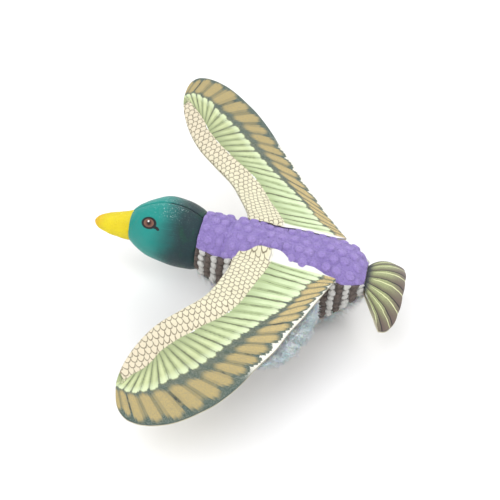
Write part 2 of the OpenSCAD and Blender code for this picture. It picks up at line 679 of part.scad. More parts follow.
module indicator_led() {
  color("red") translate([led_x, 0, case_floor_z + 0.2]) cylinder(d = led_d, h = board_z - case_floor_z - 0.2);
}
module speaker() {
  color("black") translate([speaker_x, -half_in, speaker_z + 4]) rotate([-90, 0, 0]) cylinder(r = 9, h = 4);
}
module motion_sensor() {
  color("goldenrod") translate([-66, -9, board_z + board_t]) cylinder(r = 2, h = 4);
}
battery_x0 = -72;
module battery() {
  color("lightsteelblue") translate([battery_x0, 11.6, 22]) cube([26, 7, 40]);
}
module battery_leads() {
  color("red") for (x = [battery_x0 + 10, battery_x0 + 13]) translate([x, 12, board_z + board_t])
    cylinder(r = 0.35, h = 22 - board_z - board_t);
}

// ---- Pocket that holds the motion unit ----
module motion_pocket() {
  z0 = case_floor_z + 3;
  z1 = 56;
  gap = 0.1;
  color("white") translate([case_x0 - 1 - gap, -case_w / 2 - 1 - gap, z0]) difference() {
    cube([case_len + 2 + 2 * gap, case_w + 2 + 2 * gap, z1 - z0]);
    translate([1, 1, -1]) cube([case_len + 2 * gap, case_w + 2 * gap, z1 - z0 + 2]);
  }
}
module pocket_flap() {
  color("whitesmoke") translate([flap_x0 + move_gap, -flap_half_w + move_gap, 0])
    cube([flap_x1 - flap_x0 - 2 * move_gap - 0.2, 2 * (flap_half_w - move_gap), skin]);
}
closure_w = 7;
closure_t = 1;
module hook_strip() {
  color("gray") translate([flap_x0 + 1, -flap_half_w + 2, skin])
    cube([closure_w, 2 * flap_half_w - 4, closure_t]);
}
loop_z = skin + closure_t + 0.2;
module loop_strip() {
  color("lightgray") translate([flap_x0 + 1, -flap_half_w + 2, loop_z])
    cube([closure_w, 2 * flap_half_w - 4, closure_t]);
}
module pocket_placket() {
  color("white") {
    translate([flap_x0 - 5, -flap_half_w, loop_z + closure_t]) cube([closure_w + 7, 2 * flap_half_w, 1]);
  }
}

module left_wing_lever() wing_lever(1);
module left_wing_wire() wing_wire(1);
module left_wire_cap() wire_cap(1);
module left_wing_top() wing_top(1);
module left_wing_bottom() wing_bottom(1);
module left_wing_wadding() wing_wadding(1);
module left_underwing_plush() underwing_plush(1);
module right_wing_lever() wing_lever(-1);
module right_wing_wire() wing_wire(-1);
module right_wire_cap() wire_cap(-1);
module right_wing_top() wing_top(-1);
module right_wing_bottom() wing_bottom(-1);
module right_wing_wadding() wing_wadding(-1);
module right_underwing_plush() underwing_plush(-1);

back_panel();
left_flank_panel();
right_flank_panel();
belly_panel();
front_stuffing();
rear_stuffing();
head_left_panel();
head_right_panel();
head_stuffing();
bill_cover();
bill_stuffing();
tail_top_panel();
tail_bottom_panel();
tail_stuffing();
motion_pocket();
pocket_flap();
hook_strip();
loop_strip();
pocket_placket();
case_top();
case_bottom();
case_screws();
gearbox_plate();
motor();
motor_shaft();
motor_pinion();
idler_gear();
idler_pin();
crank_gear();
crank_axle();
yoke_rack();
guide_rods();
lever_pins();
battery();
battery_leads();
circuit_board();
charging_socket();
power_button();
button_spring();
indicator_led();
speaker();
motion_sensor();
left_wing_lever();
left_wing_wire();
left_wire_cap();
left_wing_top();
left_wing_bottom();
left_wing_wadding();
left_underwing_plush();
right_wing_lever();
right_wing_wire();
right_wire_cap();
right_wing_top();
right_wing_bottom();
right_wing_wadding();
right_underwing_plush();
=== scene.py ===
import json
import math
import bpy
import numpy as np
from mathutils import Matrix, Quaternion, Vector
from mathutils.kdtree import KDTree


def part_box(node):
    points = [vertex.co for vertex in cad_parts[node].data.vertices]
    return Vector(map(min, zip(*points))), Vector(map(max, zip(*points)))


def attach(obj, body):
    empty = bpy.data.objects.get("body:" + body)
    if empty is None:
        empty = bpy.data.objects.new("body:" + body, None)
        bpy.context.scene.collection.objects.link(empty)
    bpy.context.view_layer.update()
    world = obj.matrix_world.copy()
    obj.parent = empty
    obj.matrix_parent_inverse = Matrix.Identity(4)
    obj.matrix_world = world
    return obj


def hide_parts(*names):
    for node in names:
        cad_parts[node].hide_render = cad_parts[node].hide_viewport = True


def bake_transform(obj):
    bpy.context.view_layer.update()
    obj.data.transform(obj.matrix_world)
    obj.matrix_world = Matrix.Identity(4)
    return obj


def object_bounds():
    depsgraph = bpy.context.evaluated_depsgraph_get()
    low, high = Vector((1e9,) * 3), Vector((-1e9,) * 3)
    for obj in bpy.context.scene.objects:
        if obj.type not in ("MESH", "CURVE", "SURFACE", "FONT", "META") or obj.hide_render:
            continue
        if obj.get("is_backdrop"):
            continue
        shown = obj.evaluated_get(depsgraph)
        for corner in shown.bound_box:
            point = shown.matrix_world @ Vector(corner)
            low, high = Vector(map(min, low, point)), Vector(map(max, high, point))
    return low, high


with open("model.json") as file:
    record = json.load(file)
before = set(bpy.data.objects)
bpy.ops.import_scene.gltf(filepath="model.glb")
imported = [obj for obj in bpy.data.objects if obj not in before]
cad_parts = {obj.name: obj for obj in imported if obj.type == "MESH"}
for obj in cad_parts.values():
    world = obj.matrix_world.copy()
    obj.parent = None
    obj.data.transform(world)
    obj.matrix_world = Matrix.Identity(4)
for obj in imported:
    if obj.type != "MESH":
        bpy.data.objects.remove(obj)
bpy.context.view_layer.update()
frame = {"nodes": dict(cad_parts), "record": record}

# ---------------------------------------------------------------- motion unit
# The plastic case, gears, motor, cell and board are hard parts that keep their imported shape.
# Each gets the finish of its trade: textured moulding, acetal, ground steel, brass, foil, solder mask.


def material(name, colour, rough, metal=0.0):
    made = bpy.data.materials.new(name)
    made.use_nodes = True
    shader = made.node_tree.nodes["Principled BSDF"]
    shader.inputs["Base Color"].default_value = (*colour, 1)
    shader.inputs["Roughness"].default_value = rough
    shader.inputs["Metallic"].default_value = metal
    return made


def shader_of(made):
    return made.node_tree.nodes["Principled BSDF"]


def connect(made, value, socket):
    if isinstance(value, bpy.types.NodeSocket):
        made.node_tree.links.new(value, socket)
    elif socket.type == "RGBA":
        socket.default_value = (*value, 1)
    else:
        socket.default_value = value


def node(made, kind, out=0, settings=None, **values):
    new = made.node_tree.nodes.new("ShaderNode" + kind)
    for key, value in (settings or {}).items():
        setattr(new, key, value)
    for key, value in values.items():
        connect(made, value, new.inputs[key.replace("_", " ")])
    return new.outputs[out]


def calc(made, operation, *values, clamp=False):
    new = made.node_tree.nodes.new("ShaderNodeMath")
    new.operation = operation
    new.use_clamp = clamp
    for value, socket in zip(values, new.inputs):
        connect(made, value, socket)
    return new.outputs[0]


def ramp_up(made, value, low, high):
    new = made.node_tree.nodes.new("ShaderNodeMapRange")
    new.interpolation_type = "SMOOTHSTEP"
    for key, given in (("Value", value), ("From Min", low), ("From Max", high)):
        connect(made, given, new.inputs[key])
    return new.outputs[0]


def mix(made, factor, first, second, how="MIX"):
    new = made.node_tree.nodes.new("ShaderNodeMix")
    new.data_type = "RGBA"
    new.blend_type = how
    connect(made, factor, new.inputs[0])
    connect(made, first, new.inputs[6])
    connect(made, second, new.inputs[7])
    return new.outputs[2]


def noise(made, scale, detail=2.0, vector=None, rough=0.5):
    values = {"Scale": scale, "Detail": detail, "Roughness": rough}
    if vector is not None:
        values["Vector"] = vector
    return node(made, "TexNoise", **values)


def place(made, scale=(1, 1, 1)):
    spot = node(made, "TexCoord", out=3)
    return node(made, "Mapping", Vector=spot, Scale=scale)


def bump(made, height, distance, strength=1.0):
    result = node(made, "Bump", Height=height, Distance=distance, Strength=strength)
    connect(made, result, shader_of(made).inputs["Normal"])


def paint(made, tone):
    connect(made, tone, shader_of(made).inputs["Base Color"])


def painted(made):
    """The colour that a material has so far, to mix more into it."""
    return shader_of(made).inputs["Base Color"].links[0].from_socket


def moulded(name, colour, rough, grain=4000):
    made = material(name, colour, rough)
    speckle = noise(made, grain, 3, place(made))
    tone = mix(made, ramp_up(made, speckle, 0.3, 0.7), colour, [0.86 * c for c in colour])
    paint(made, tone)
    connect(made, calc(made, "MULTIPLY_ADD", speckle, 0.2, rough - 0.1), shader_of(made).inputs["Roughness"])
    bump(made, speckle, 0.00004)
    return made


def ground_metal(name, colour, rough, stretch):
    made = material(name, colour, rough, 1.0)
    grain = noise(made, 900, 3, place(made, stretch))
    tone = mix(made, grain, [0.8 * c for c in colour], colour)
    paint(made, tone)
    connect(made, calc(made, "MULTIPLY_ADD", grain, 0.25, rough - 0.1), shader_of(made).inputs["Roughness"])
    bump(made, grain, 0.00002)
    return made


hard_finishes = {
    "case_plastic": moulded("case_plastic", (0.035, 0.038, 0.042), 0.55),
    "acetal": moulded("acetal", (0.82, 0.80, 0.74), 0.4, 2500),
    "lever_plastic": moulded("lever_plastic", (0.72, 0.18, 0.03), 0.42, 2500),
    "black_plastic": moulded("black_plastic", (0.02, 0.02, 0.022), 0.45),
    "red_plastic": moulded("red_plastic", (0.6, 0.03, 0.02), 0.25, 1500),
    "hook_tape": moulded("hook_tape", (0.7, 0.7, 0.68), 0.8, 1200),
    "cell_wrap": moulded("cell_wrap", (0.22, 0.32, 0.5), 0.35, 700),
    "board": moulded("board", (0.01, 0.12, 0.04), 0.3, 1800),
    "steel": ground_metal("steel", (0.55, 0.56, 0.58), 0.3, (1, 8, 8)),
    "motor_can": ground_metal("motor_can", (0.5, 0.51, 0.53), 0.35, (8, 1, 1)),
    "brass_gear": ground_metal("brass_gear", (0.62, 0.42, 0.14), 0.3, (1, 6, 6)),
}


def soft_cloth(name, colour, thread, depth=0.00012):
    made = material(name, colour, 0.9)
    warp = node(made, "TexWave", out=1, Vector=place(made), Scale=thread)
    weft = node(made, "TexWave", out=1, settings={"bands_direction": "Y"}, Vector=place(made), Scale=thread)
    weave = calc(made, "MAXIMUM", warp, weft)
    tone = mix(made, noise(made, 60, 4, place(made)), [0.9 * c for c in colour], colour)
    paint(made, tone)
    shader_of(made).inputs["Sheen Weight"].default_value = 0.25
    bump(made, weave, depth)
    return made


hard_finishes["pocket_cloth"] = soft_cloth("pocket_cloth", (0.72, 0.72, 0.7), 260)
hard_finishes["fibre_fill"] = soft_cloth("fibre_fill", (0.85, 0.85, 0.84), 90, 0.0004)

for row in frame["record"]["subparts"]:
    if row["material_slot"] in hard_finishes:
        packed = frame["nodes"][row["node"]]
        packed.data.materials.clear()
        packed.data.materials.append(hard_finishes[row["material_slot"]])

# ---------------------------------------------------------------- back strip
# A long panel of lavender dimple plush, sewn between the flanks from the neck seam to the tail.
# The dots are raised pads of the pile. The panel is pinched once behind the neck and narrows
# between the wings, where the wing levers come out under the wing roots.
MM = 0.001
BACK_SECTIONS = [
    (48, 94, 36, 29, 65, 2.1), (30, 93, 23, 32, 60, 2.2), (5, 91, 4, 35.5, 52, 2.5),
    (-20, 90, -4, 36.5, 48, 2.6), (-45, 90, -6, 37, 47, 2.6), (-70, 89, -5, 36.5, 50, 2.6),
    (-95, 87, 9, 35, 56, 2.5), (-113, 82, 32, 30, 61, 2.3), (-126, 73, 48, 18, 61, 2.1)]
STRIP_HALF_W = 31
STRIP_ENDS = (48.3, -126.5)
NECK_PINCH_X = 19
DOT_PITCH, DOT_RADIUS = 12.2, 4.3
PLUSH_BACKING = 1.2
LEVER_X, LEVER_HALF_W, LEVER_EASE = -28, 11.5, 1.6
LEVER_STRIP_ANGLE, LEVER_FLANK_ANGLE = math.radians(30), math.radians(78)


def smooth_rows(table, x):
    """Rows of the table along a smooth curve through them; x may be an array."""
    rows = np.array(table, float)
    if rows[0, 0] > rows[-1, 0]:
        rows = rows[::-1]
    x = np.asarray(x, float)
    i = np.clip(np.searchsorted(rows[:, 0], x) - 1, 0, len(rows) - 2)
    slopes = np.gradient(rows, axis=0) / np.gradient(rows[:, 0])[:, None]
    slopes[1:-1] = (rows[2:] - rows[:-2]) / (rows[2:, 0] - rows[:-2, 0])[:, None]
    w = (rows[i + 1, 0] - rows[i, 0])[..., None]
    t = ((x - rows[i, 0]) / w[..., 0])[..., None]
    return ((2 * t**3 - 3 * t**2 + 1) * rows[i] + (t**3 - 2 * t**2 + t) * w * slopes[i]
            + (3 * t**2 - 2 * t**3) * rows[i + 1] + (t**3 - t**2) * w * slopes[i + 1])


def signed_power(value, power):
    return np.sign(value) * np.abs(value) ** power


def section_points(rows, angle):
    """Points around sections, at angles from the top, in millimetres."""
    x, top, low, half, wide, full = [rows[..., k] for k in range(6)]
    power = 2 / full
    rise = np.where(np.cos(angle) > 0, top - wide, wide - low)
    z = wide + rise * signed_power(np.cos(angle), power)
    return np.stack([x + 0 * angle, half * signed_power(np.sin(angle), power), np.maximum(z, 0)], -1)


def outward_normals(points, axis, sign=1):
    """Unit normals of a grid of points, turned so that the middle one leans to one side of an axis."""
    normal = np.cross(np.gradient(points, axis=0), np.gradient(points, axis=1))
    normal /= np.maximum(np.linalg.norm(normal, axis=-1, keepdims=True), 1e-9)
    middle = normal[normal.shape[0] // 2, normal.shape[1] // 2, axis]
    return normal if middle * sign > 0 else -normal


def panel(name, outer, inner, values=None, turned=False):
    """Closed piece between two grids of points in millimetres, with per-point values."""
    rows, cols = outer.shape[:2]
    count = rows * cols
    index = np.arange(count).reshape(rows, cols)
    sheet = np.stack([index[:-1, :-1], index[1:, :-1], index[1:, 1:], index[:-1, 1:]], -1).reshape(-1, 4)
    rim = np.concatenate([index[0, :], index[1:, -1], index[-1, -2::-1], index[-2:0:-1, 0]])
    after = np.roll(rim, -1)
    wall = np.stack([rim, after, after + count, rim + count], -1)
    faces = np.concatenate([sheet, sheet[:, ::-1] + count, wall])
    if turned:
        faces = faces[:, ::-1]
    points = np.concatenate([outer.reshape(-1, 3), inner.reshape(-1, 3)]) * MM
    mesh = bpy.data.meshes.new(name)
    mesh.from_pydata(points.tolist(), [], faces.tolist())
    for key, value in (values or {}).items():
        layer = mesh.attributes.new(key, "FLOAT", "POINT")
        layer.data.foreach_set("value", np.tile(np.asarray(value, float).ravel(), 2))
    mesh.polygons.foreach_set("use_smooth", [True] * len(mesh.polygons))
    mesh.update()
    piece = bpy.data.objects.new(name, mesh)
    bpy.context.collection.objects.link(piece)
    return piece


def arc_lengths(points):
    """Distance along each row of a grid, measured from the row's middle."""
    step = np.linalg.norm(np.diff(points, axis=1), axis=-1)
    length = np.concatenate([np.zeros((len(points), 1)), np.cumsum(step, 1)], 1)
    return length - length[:, length.shape[1] // 2][:, None]


def lumps(u, v, pitch, radius, shift, seed, roundness=0.8):
    """Height 0 to 1 of round dots on a staggered, slightly uneven lattice, each dot's own number and its row."""
    rng = np.random.default_rng(seed)
    table = rng.uniform(-1, 1, (3, 64, 64))
    height = np.zeros_like(u)
    number = np.zeros_like(u)
    row = np.round(v / pitch)
    line = row.copy()
    for k in (-1, 0, 1):
        r = row + k
        off = np.where(r % 2 == 0, 0, 0.5)
        for m in (-1, 0, 1):
            c = np.round(u / pitch - off) + m
            ri, ci = (r % 64).astype(int), (c % 64).astype(int)
            cu = (c + off + shift * table[0][ri, ci]) * pitch
            cv = (r + shift * table[1][ri, ci]) * pitch
            size = radius * (1 + 0.12 * table[2][ri, ci])
            far = np.hypot(u - cu, v - cv) / size
            dome = np.sqrt(np.clip(1 - far**2, 0, 1)) ** roundness
            number = np.where(dome > height, table[2][ri, ci], number)
            line = np.where(dome > height, r, line)
            height = np.maximum(height, dome)
    return height, number, line


def strip_angles(rows):
    """Angle from the top, at each section, of the seam between the strip and the flank."""
    edge = np.minimum(STRIP_HALF_W / rows[:, 3], 0.93)
    return np.arcsin(edge ** (rows[:, 5] / 2))


def lever_gap(x):
    """1 where the wing levers leave the body through a gap between strip and flank, 0 elsewhere."""
    return np.clip((LEVER_HALF_W - np.abs(x - LEVER_X)) / LEVER_EASE, 0, 1)


strip_x = np.linspace(*STRIP_ENDS, 240)
strip_rows = smooth_rows(BACK_SECTIONS, strip_x)
strip_share = np.linspace(-1, 1, 105)
strip_edge = strip_angles(strip_rows)
strip_edge += (LEVER_STRIP_ANGLE - strip_edge) * lever_gap(strip_x)
strip_angle = strip_edge[:, None] * strip_share[None, :]
strip_base = section_points(strip_rows[:, None, :], strip_angle)
strip_arc = arc_lengths(strip_base)
strip_along = np.repeat(strip_x[:, None], strip_arc.shape[1], 1)
dots, dot_number, _ = lumps(strip_along, strip_arc, DOT_PITCH, DOT_RADIUS, 0.10, 4, 0.4)
pinch = np.exp(-((strip_along - NECK_PINCH_X - 0.06 * strip_arc) / 2.8) ** 2)
rear_close = np.clip((strip_along - STRIP_ENDS[1]) / 9, 0, 1) ** 0.5
edge_tuck = np.clip((1 - np.abs(strip_share)) / 0.07, 0, 1) ** 0.5
rough_pile = np.random.default_rng(5).random(dots.shape)
swell = 1.0 + (2.0 + 0.5 * dot_number) * dots * edge_tuck - 3.2 * pinch + 0.5 * rough_pile
swell = swell * (0.3 + 0.7 * edge_tuck) * (0.2 + 0.8 * rear_close)
strip_normal = outward_normals(strip_base, 2)
back_strip = panel("back_strip", strip_base + strip_normal * swell[..., None],
                   strip_base - strip_normal * PLUSH_BACKING, {"dot": dots})


def reading(made, word):
    """The value that each point of a piece carries under a name."""
    return node(made, "Attribute", out=2, settings={"attribute_name": word})


def plush(name, deep, face, fuzz=0.35, mottle=0.5):
    """Cut pile: a cloudy tone, painted shade deep in the nap and painted highlights on the tips of the pile, and a
    soft sheen.
    """
    made = material(name, face, 0.95)
    pile = noise(made, 1500, 4, place(made), 0.65)
    cloud = noise(made, 45, 3, place(made))
    tone = mix(made, ramp_up(made, cloud, 0.3, 0.75), deep, face)
    tone = mix(made, calc(made, "MULTIPLY", pile, 0.35), tone, [min(1, 1.25 * c) for c in face])
    nap = noise(made, 520, 3, place(made), 0.7)
    # Painted shade deep in the nap and painted highlights on the pile tips, as strong as mottle says.
    nap_shade = calc(made, "MULTIPLY", ramp_up(made, nap, 0.5, 0.3), mottle)
    tips = calc(made, "MULTIPLY", ramp_up(made, nap, 0.52, 0.72), 0.8 * mottle)
    tone = mix(made, nap_shade, tone, [0.62 * c for c in deep])
    tone = mix(made, tips, tone, [min(1, 1.35 * c) for c in face])
    paint(made, tone)
    shader_of(made).inputs["Sheen Weight"].default_value = fuzz
    shader_of(made).inputs["Sheen Roughness"].default_value = 0.6
    bump(made, calc(made, "MULTIPLY_ADD", nap, 3.0, pile), 0.0009)
    return made


lavender = plush("lavender_plush", (0.29, 0.205, 0.57), (0.36, 0.265, 0.64), 0.2)
# Painted shade: the lavender is darker between the raised dots than on them.
seat = ramp_up(lavender, reading(lavender, "dot"), 0.0, 0.35)
paint(lavender, mix(lavender, calc(lavender, "MULTIPLY_ADD", seat, 0.25, 0.75), (0.16, 0.11, 0.38), painted(lavender)))
back_strip.data.materials.append(lavender)
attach(back_strip, "torso")
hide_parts("back_panel")

# ---------------------------------------------------------------- flanks
# Tufted plush in upright rows of dark brown and white, one panel on each side of the body.
# The tufts stand out as small uneven pads, so the edge of the bird is knobbly.
BELLY_ANGLE = math.radians(122)
FLANK_ENDS = (48.2, -126)
TUFT_PITCH, TUFT_RADIUS = 6.9, 3.5
SEAM_OVERLAP = 0.04


def striped_plush():
    made = plush("striped_plush", (0.62, 0.61, 0.58), (0.76, 0.75, 0.72), 0.1, 0.25)
    dark = ramp_up(made, reading(made, "dark"), 0.3, 0.7)
    # Painted shade: near-black in the gaps between the tufts.
    between = calc(made, "MULTIPLY", ramp_up(made, reading(made, "tuft"), 0.5, 0.05), 0.8)
    brown = mix(made, noise(made, 500, 3, place(made)), (0.045, 0.034, 0.030), (0.22, 0.17, 0.145))
    tone = mix(made, dark, painted(made), brown)
    tone = mix(made, between, tone, (0.13, 0.11, 0.10))
    paint(made, tone)
    return made


stripes = striped_plush()
flank_rows = smooth_rows(BACK_SECTIONS, np.linspace(*FLANK_ENDS, 210))
for side, word in ((1, "left"), (-1, "right")):
    share = np.linspace(0, 1, 100)
    start = strip_angles(flank_rows) - SEAM_OVERLAP
    start += (LEVER_FLANK_ANGLE - start) * lever_gap(flank_rows[:, 0])
    angle = side * (start[:, None] + (BELLY_ANGLE - start)[:, None] * share[None, :])
    base = section_points(flank_rows[:, None, :], angle)
    along = base[..., 0]
    arc = arc_lengths(base)
    tuft, tuft_number, column = lumps(arc, along, TUFT_PITCH, TUFT_RADIUS, 0.13, 7 + side, 0.6)
    fluff = np.random.default_rng(9).random(tuft.shape)
    tuck = np.clip(share / 0.05, 0, 1) ** 0.5
    normal = outward_normals(base, 1, side)
    lift = (-0.4 + (3.1 + 0.7 * tuft_number) * tuft + 0.4 * fluff) * tuck
    flank = panel(f"{word}_flank", base + normal * lift[..., None], base - normal * PLUSH_BACKING,
                  {"dark": column % 2, "tuft": tuft}, side < 0)
    flank.data.materials.append(stripes)
    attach(flank, "torso")
    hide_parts(f"{word}_flank_panel")

# ---------------------------------------------------------------- belly
# White long pile plush, sewn between the flanks under the body, with a window for the pocket.
# A short backing carries loose strands of pile that lie back towards the tail.
WINDOW_X = (-70, -24)
WINDOW_HALF_W = 13
BELLY_STRANDS, STRAND_WIDTH = 7000, 0.32
BARE_BELOW = 3


def white_pile():
    made = plush("white_pile", (0.86, 0.85, 0.83), (0.95, 0.94, 0.92), 0.15, 0.1)
    shader_of(made).inputs["Subsurface Weight"].default_value = 0.5
    shader_of(made).inputs["Subsurface Scale"].default_value = 0.004
    return made


def strands(name, roots, leans, lengths, width, seed):
    """Tapered three-sided strands in millimetres: roots, directions and lengths are arrays."""
    rng = np.random.default_rng(seed)
    count = len(roots)
    side = np.cross(leans, rng.normal(size=(count, 3)))
    side /= np.linalg.norm(side, axis=1, keepdims=True)
    other = np.cross(leans, side)
    curl = rng.normal(size=(count, 3)) * 0.35
    rings = []
    for reach, w in ((0.0, 1.0), (0.55, 0.75)):
        centre = roots + leans * (lengths * reach)[:, None] + curl * (lengths * reach**2)[:, None]
        for k in range(3):
            a = 2 * math.pi * k / 3
            rings.append(centre + width * w * (math.cos(a) * side + math.sin(a) * other))
    tips = roots + leans * lengths[:, None] + curl * lengths[:, None]
    points = np.stack(rings + [tips], 1).reshape(-1, 3) * MM
    points[:, 2] = np.maximum(points[:, 2], 0)
    start = np.arange(count)[:, None] * 7
    quads = [[k, (k + 1) % 3, 3 + (k + 1) % 3, 3 + k] for k in range(3)]
    tris = [[3 + k, 3 + (k + 1) % 3, 6] for k in range(3)] + [[2, 1, 0]]
    faces = [(start + np.array(f)).tolist() for f in quads + tris]
    mesh = bpy.data.meshes.new(name)
    mesh.from_pydata(points.tolist(), [], [f for group in faces for f in group])
    mesh.polygons.foreach_set("use_smooth", [True] * len(mesh.polygons))
    piece = bpy.data.objects.new(name, mesh)
    bpy.context.collection.objects.link(piece)
    return piece


pile_white = white_pile()
belly_rows = smooth_rows(BACK_SECTIONS, np.linspace(48.0, -126, 150))
belly_angle = np.linspace(BELLY_ANGLE - 0.03, 2 * math.pi - BELLY_ANGLE + 0.03, 110)
belly_base = section_points(belly_rows[:, None, :], belly_angle[None, :])
belly_normal = outward_normals(belly_base, 2, -1)
rng = np.random.default_rng(3)
belly_out = belly_base + belly_normal * (0.3 + 0.5 * rng.random(belly_base.shape[:2]))[..., None]
belly_out[..., 2] = np.maximum(belly_out[..., 2], 0)
belly = panel("belly_plush", belly_out, belly_base - belly_normal * PLUSH_BACKING)
cutter = bpy.data.meshes.new("window")
low = Vector((WINDOW_X[0], -WINDOW_HALF_W, -5)) * MM
high = Vector((WINDOW_X[1], WINDOW_HALF_W, 6)) * MM
corners = [(x, y, z) for x in (low.x, high.x) for y in (low.y, high.y) for z in (low.z, high.z)]
cutter.from_pydata(corners, [], [(0, 1, 3, 2), (4, 6, 7, 5), (0, 4, 5, 1), (2, 3, 7, 6), (0, 2, 6, 4),
                                 (1, 5, 7, 3)])
window = bpy.data.objects.new("window", cutter)
bpy.context.collection.objects.link(window)
cut = belly.modifiers.new("window", "BOOLEAN")
cut.object = window
cut.operation = "DIFFERENCE"
cut.solver = "EXACT"
bpy.context.view_layer.objects.active = belly
bpy.ops.object.modifier_apply(modifier="window")
bpy.data.objects.remove(window)
belly.data.materials.append(pile_white)
flat = belly_base.reshape(-1, 3)
lean = belly_normal.reshape(-1, 3)
pick = rng.choice(len(flat), BELLY_STRANDS, replace=False)
pick = pick[flat[pick, 2] > BARE_BELOW]
fall = lean[pick] * 0.55 + np.array([-0.75, 0, -0.15]) + rng.normal(size=(len(pick), 3)) * 0.22
fall /= np.linalg.norm(fall, axis=1, keepdims=True)
reach = np.minimum(rng.uniform(5, 9, len(pick)), 1.2 + flat[pick, 2] * 0.9)
belly_pile = strands("belly_pile", flat[pick], fall, reach, STRAND_WIDTH, 11)
belly_pile.data.materials.append(pile_white)
for piece in (belly, belly_pile):
    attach(piece, "torso")
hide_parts("belly_panel")

# ---------------------------------------------------------------- pocket flap
# A hemmed rectangle of the same plush that covers the window in the belly.
# It swings on one hem and shuts against the body with hook tape.
FLAP_LOWER, FLAP_UPPER = 0.75, 0.72
flap_low, flap_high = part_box("pocket_flap")
grid_u, grid_v = np.meshgrid(np.linspace(0, 1, 60), np.linspace(0, 1, 34), indexing="ij")
hem = np.minimum(np.minimum(grid_u, 1 - grid_u) * 45, np.minimum(grid_v, 1 - grid_v) * 25)
flap_x = (flap_low[0] + (flap_high[0] - flap_low[0]) * grid_u) / MM
flap_y = (flap_low[1] + (flap_high[1] - flap_low[1]) * grid_v) / MM
soft_edge = np.clip(hem / 1.2, 0, 1) ** 0.5
flap_pile = 0.12 * rng.random(flap_x.shape) * soft_edge
flap_under = np.stack([flap_x, flap_y, FLAP_LOWER * (1 - soft_edge) + flap_pile], -1)
flap_over = np.stack([flap_x, flap_y, FLAP_LOWER + FLAP_UPPER * soft_edge], -1)
pocket_flap = panel("pocket_flap_plush", flap_under, flap_over, turned=True)
pocket_flap.data.materials.append(pile_white)
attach(pocket_flap, "flap")
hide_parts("pocket_flap")

# ---------------------------------------------------------------- head
# Two stuffed panels of printed satin, teal at the face and slate at the neck, sewn along the crown.
# The eye is printed: a brown iris in a thick dark outline that runs out behind.
HEAD_SECTIONS = [
    (48, 94, 36, 29, 65, 2), (55, 99, 33, 32, 66, 2), (70, 105, 33, 34, 69, 2), (88, 106, 35, 34, 72, 2),
    (105, 100, 39, 29, 71, 2), (118, 92, 45, 22, 69, 2), (125, 85, 50, 16.5, 68, 2)]
HEAD_ENDS = (126.5, 46.5)
SATIN_BACKING = 1.1
CHEEK_CREASE = (119, 84)
EYE_X = 100.5
EYE_ANGLE = math.radians(46)
EYE_SIZE = (8.8, 6.3)
EYE_TILT = -0.1


def split_up(made, vector):
    split = made.node_tree.nodes.new("ShaderNodeSeparateXYZ")
    connect(made, vector, split.inputs[0])
    return split.outputs


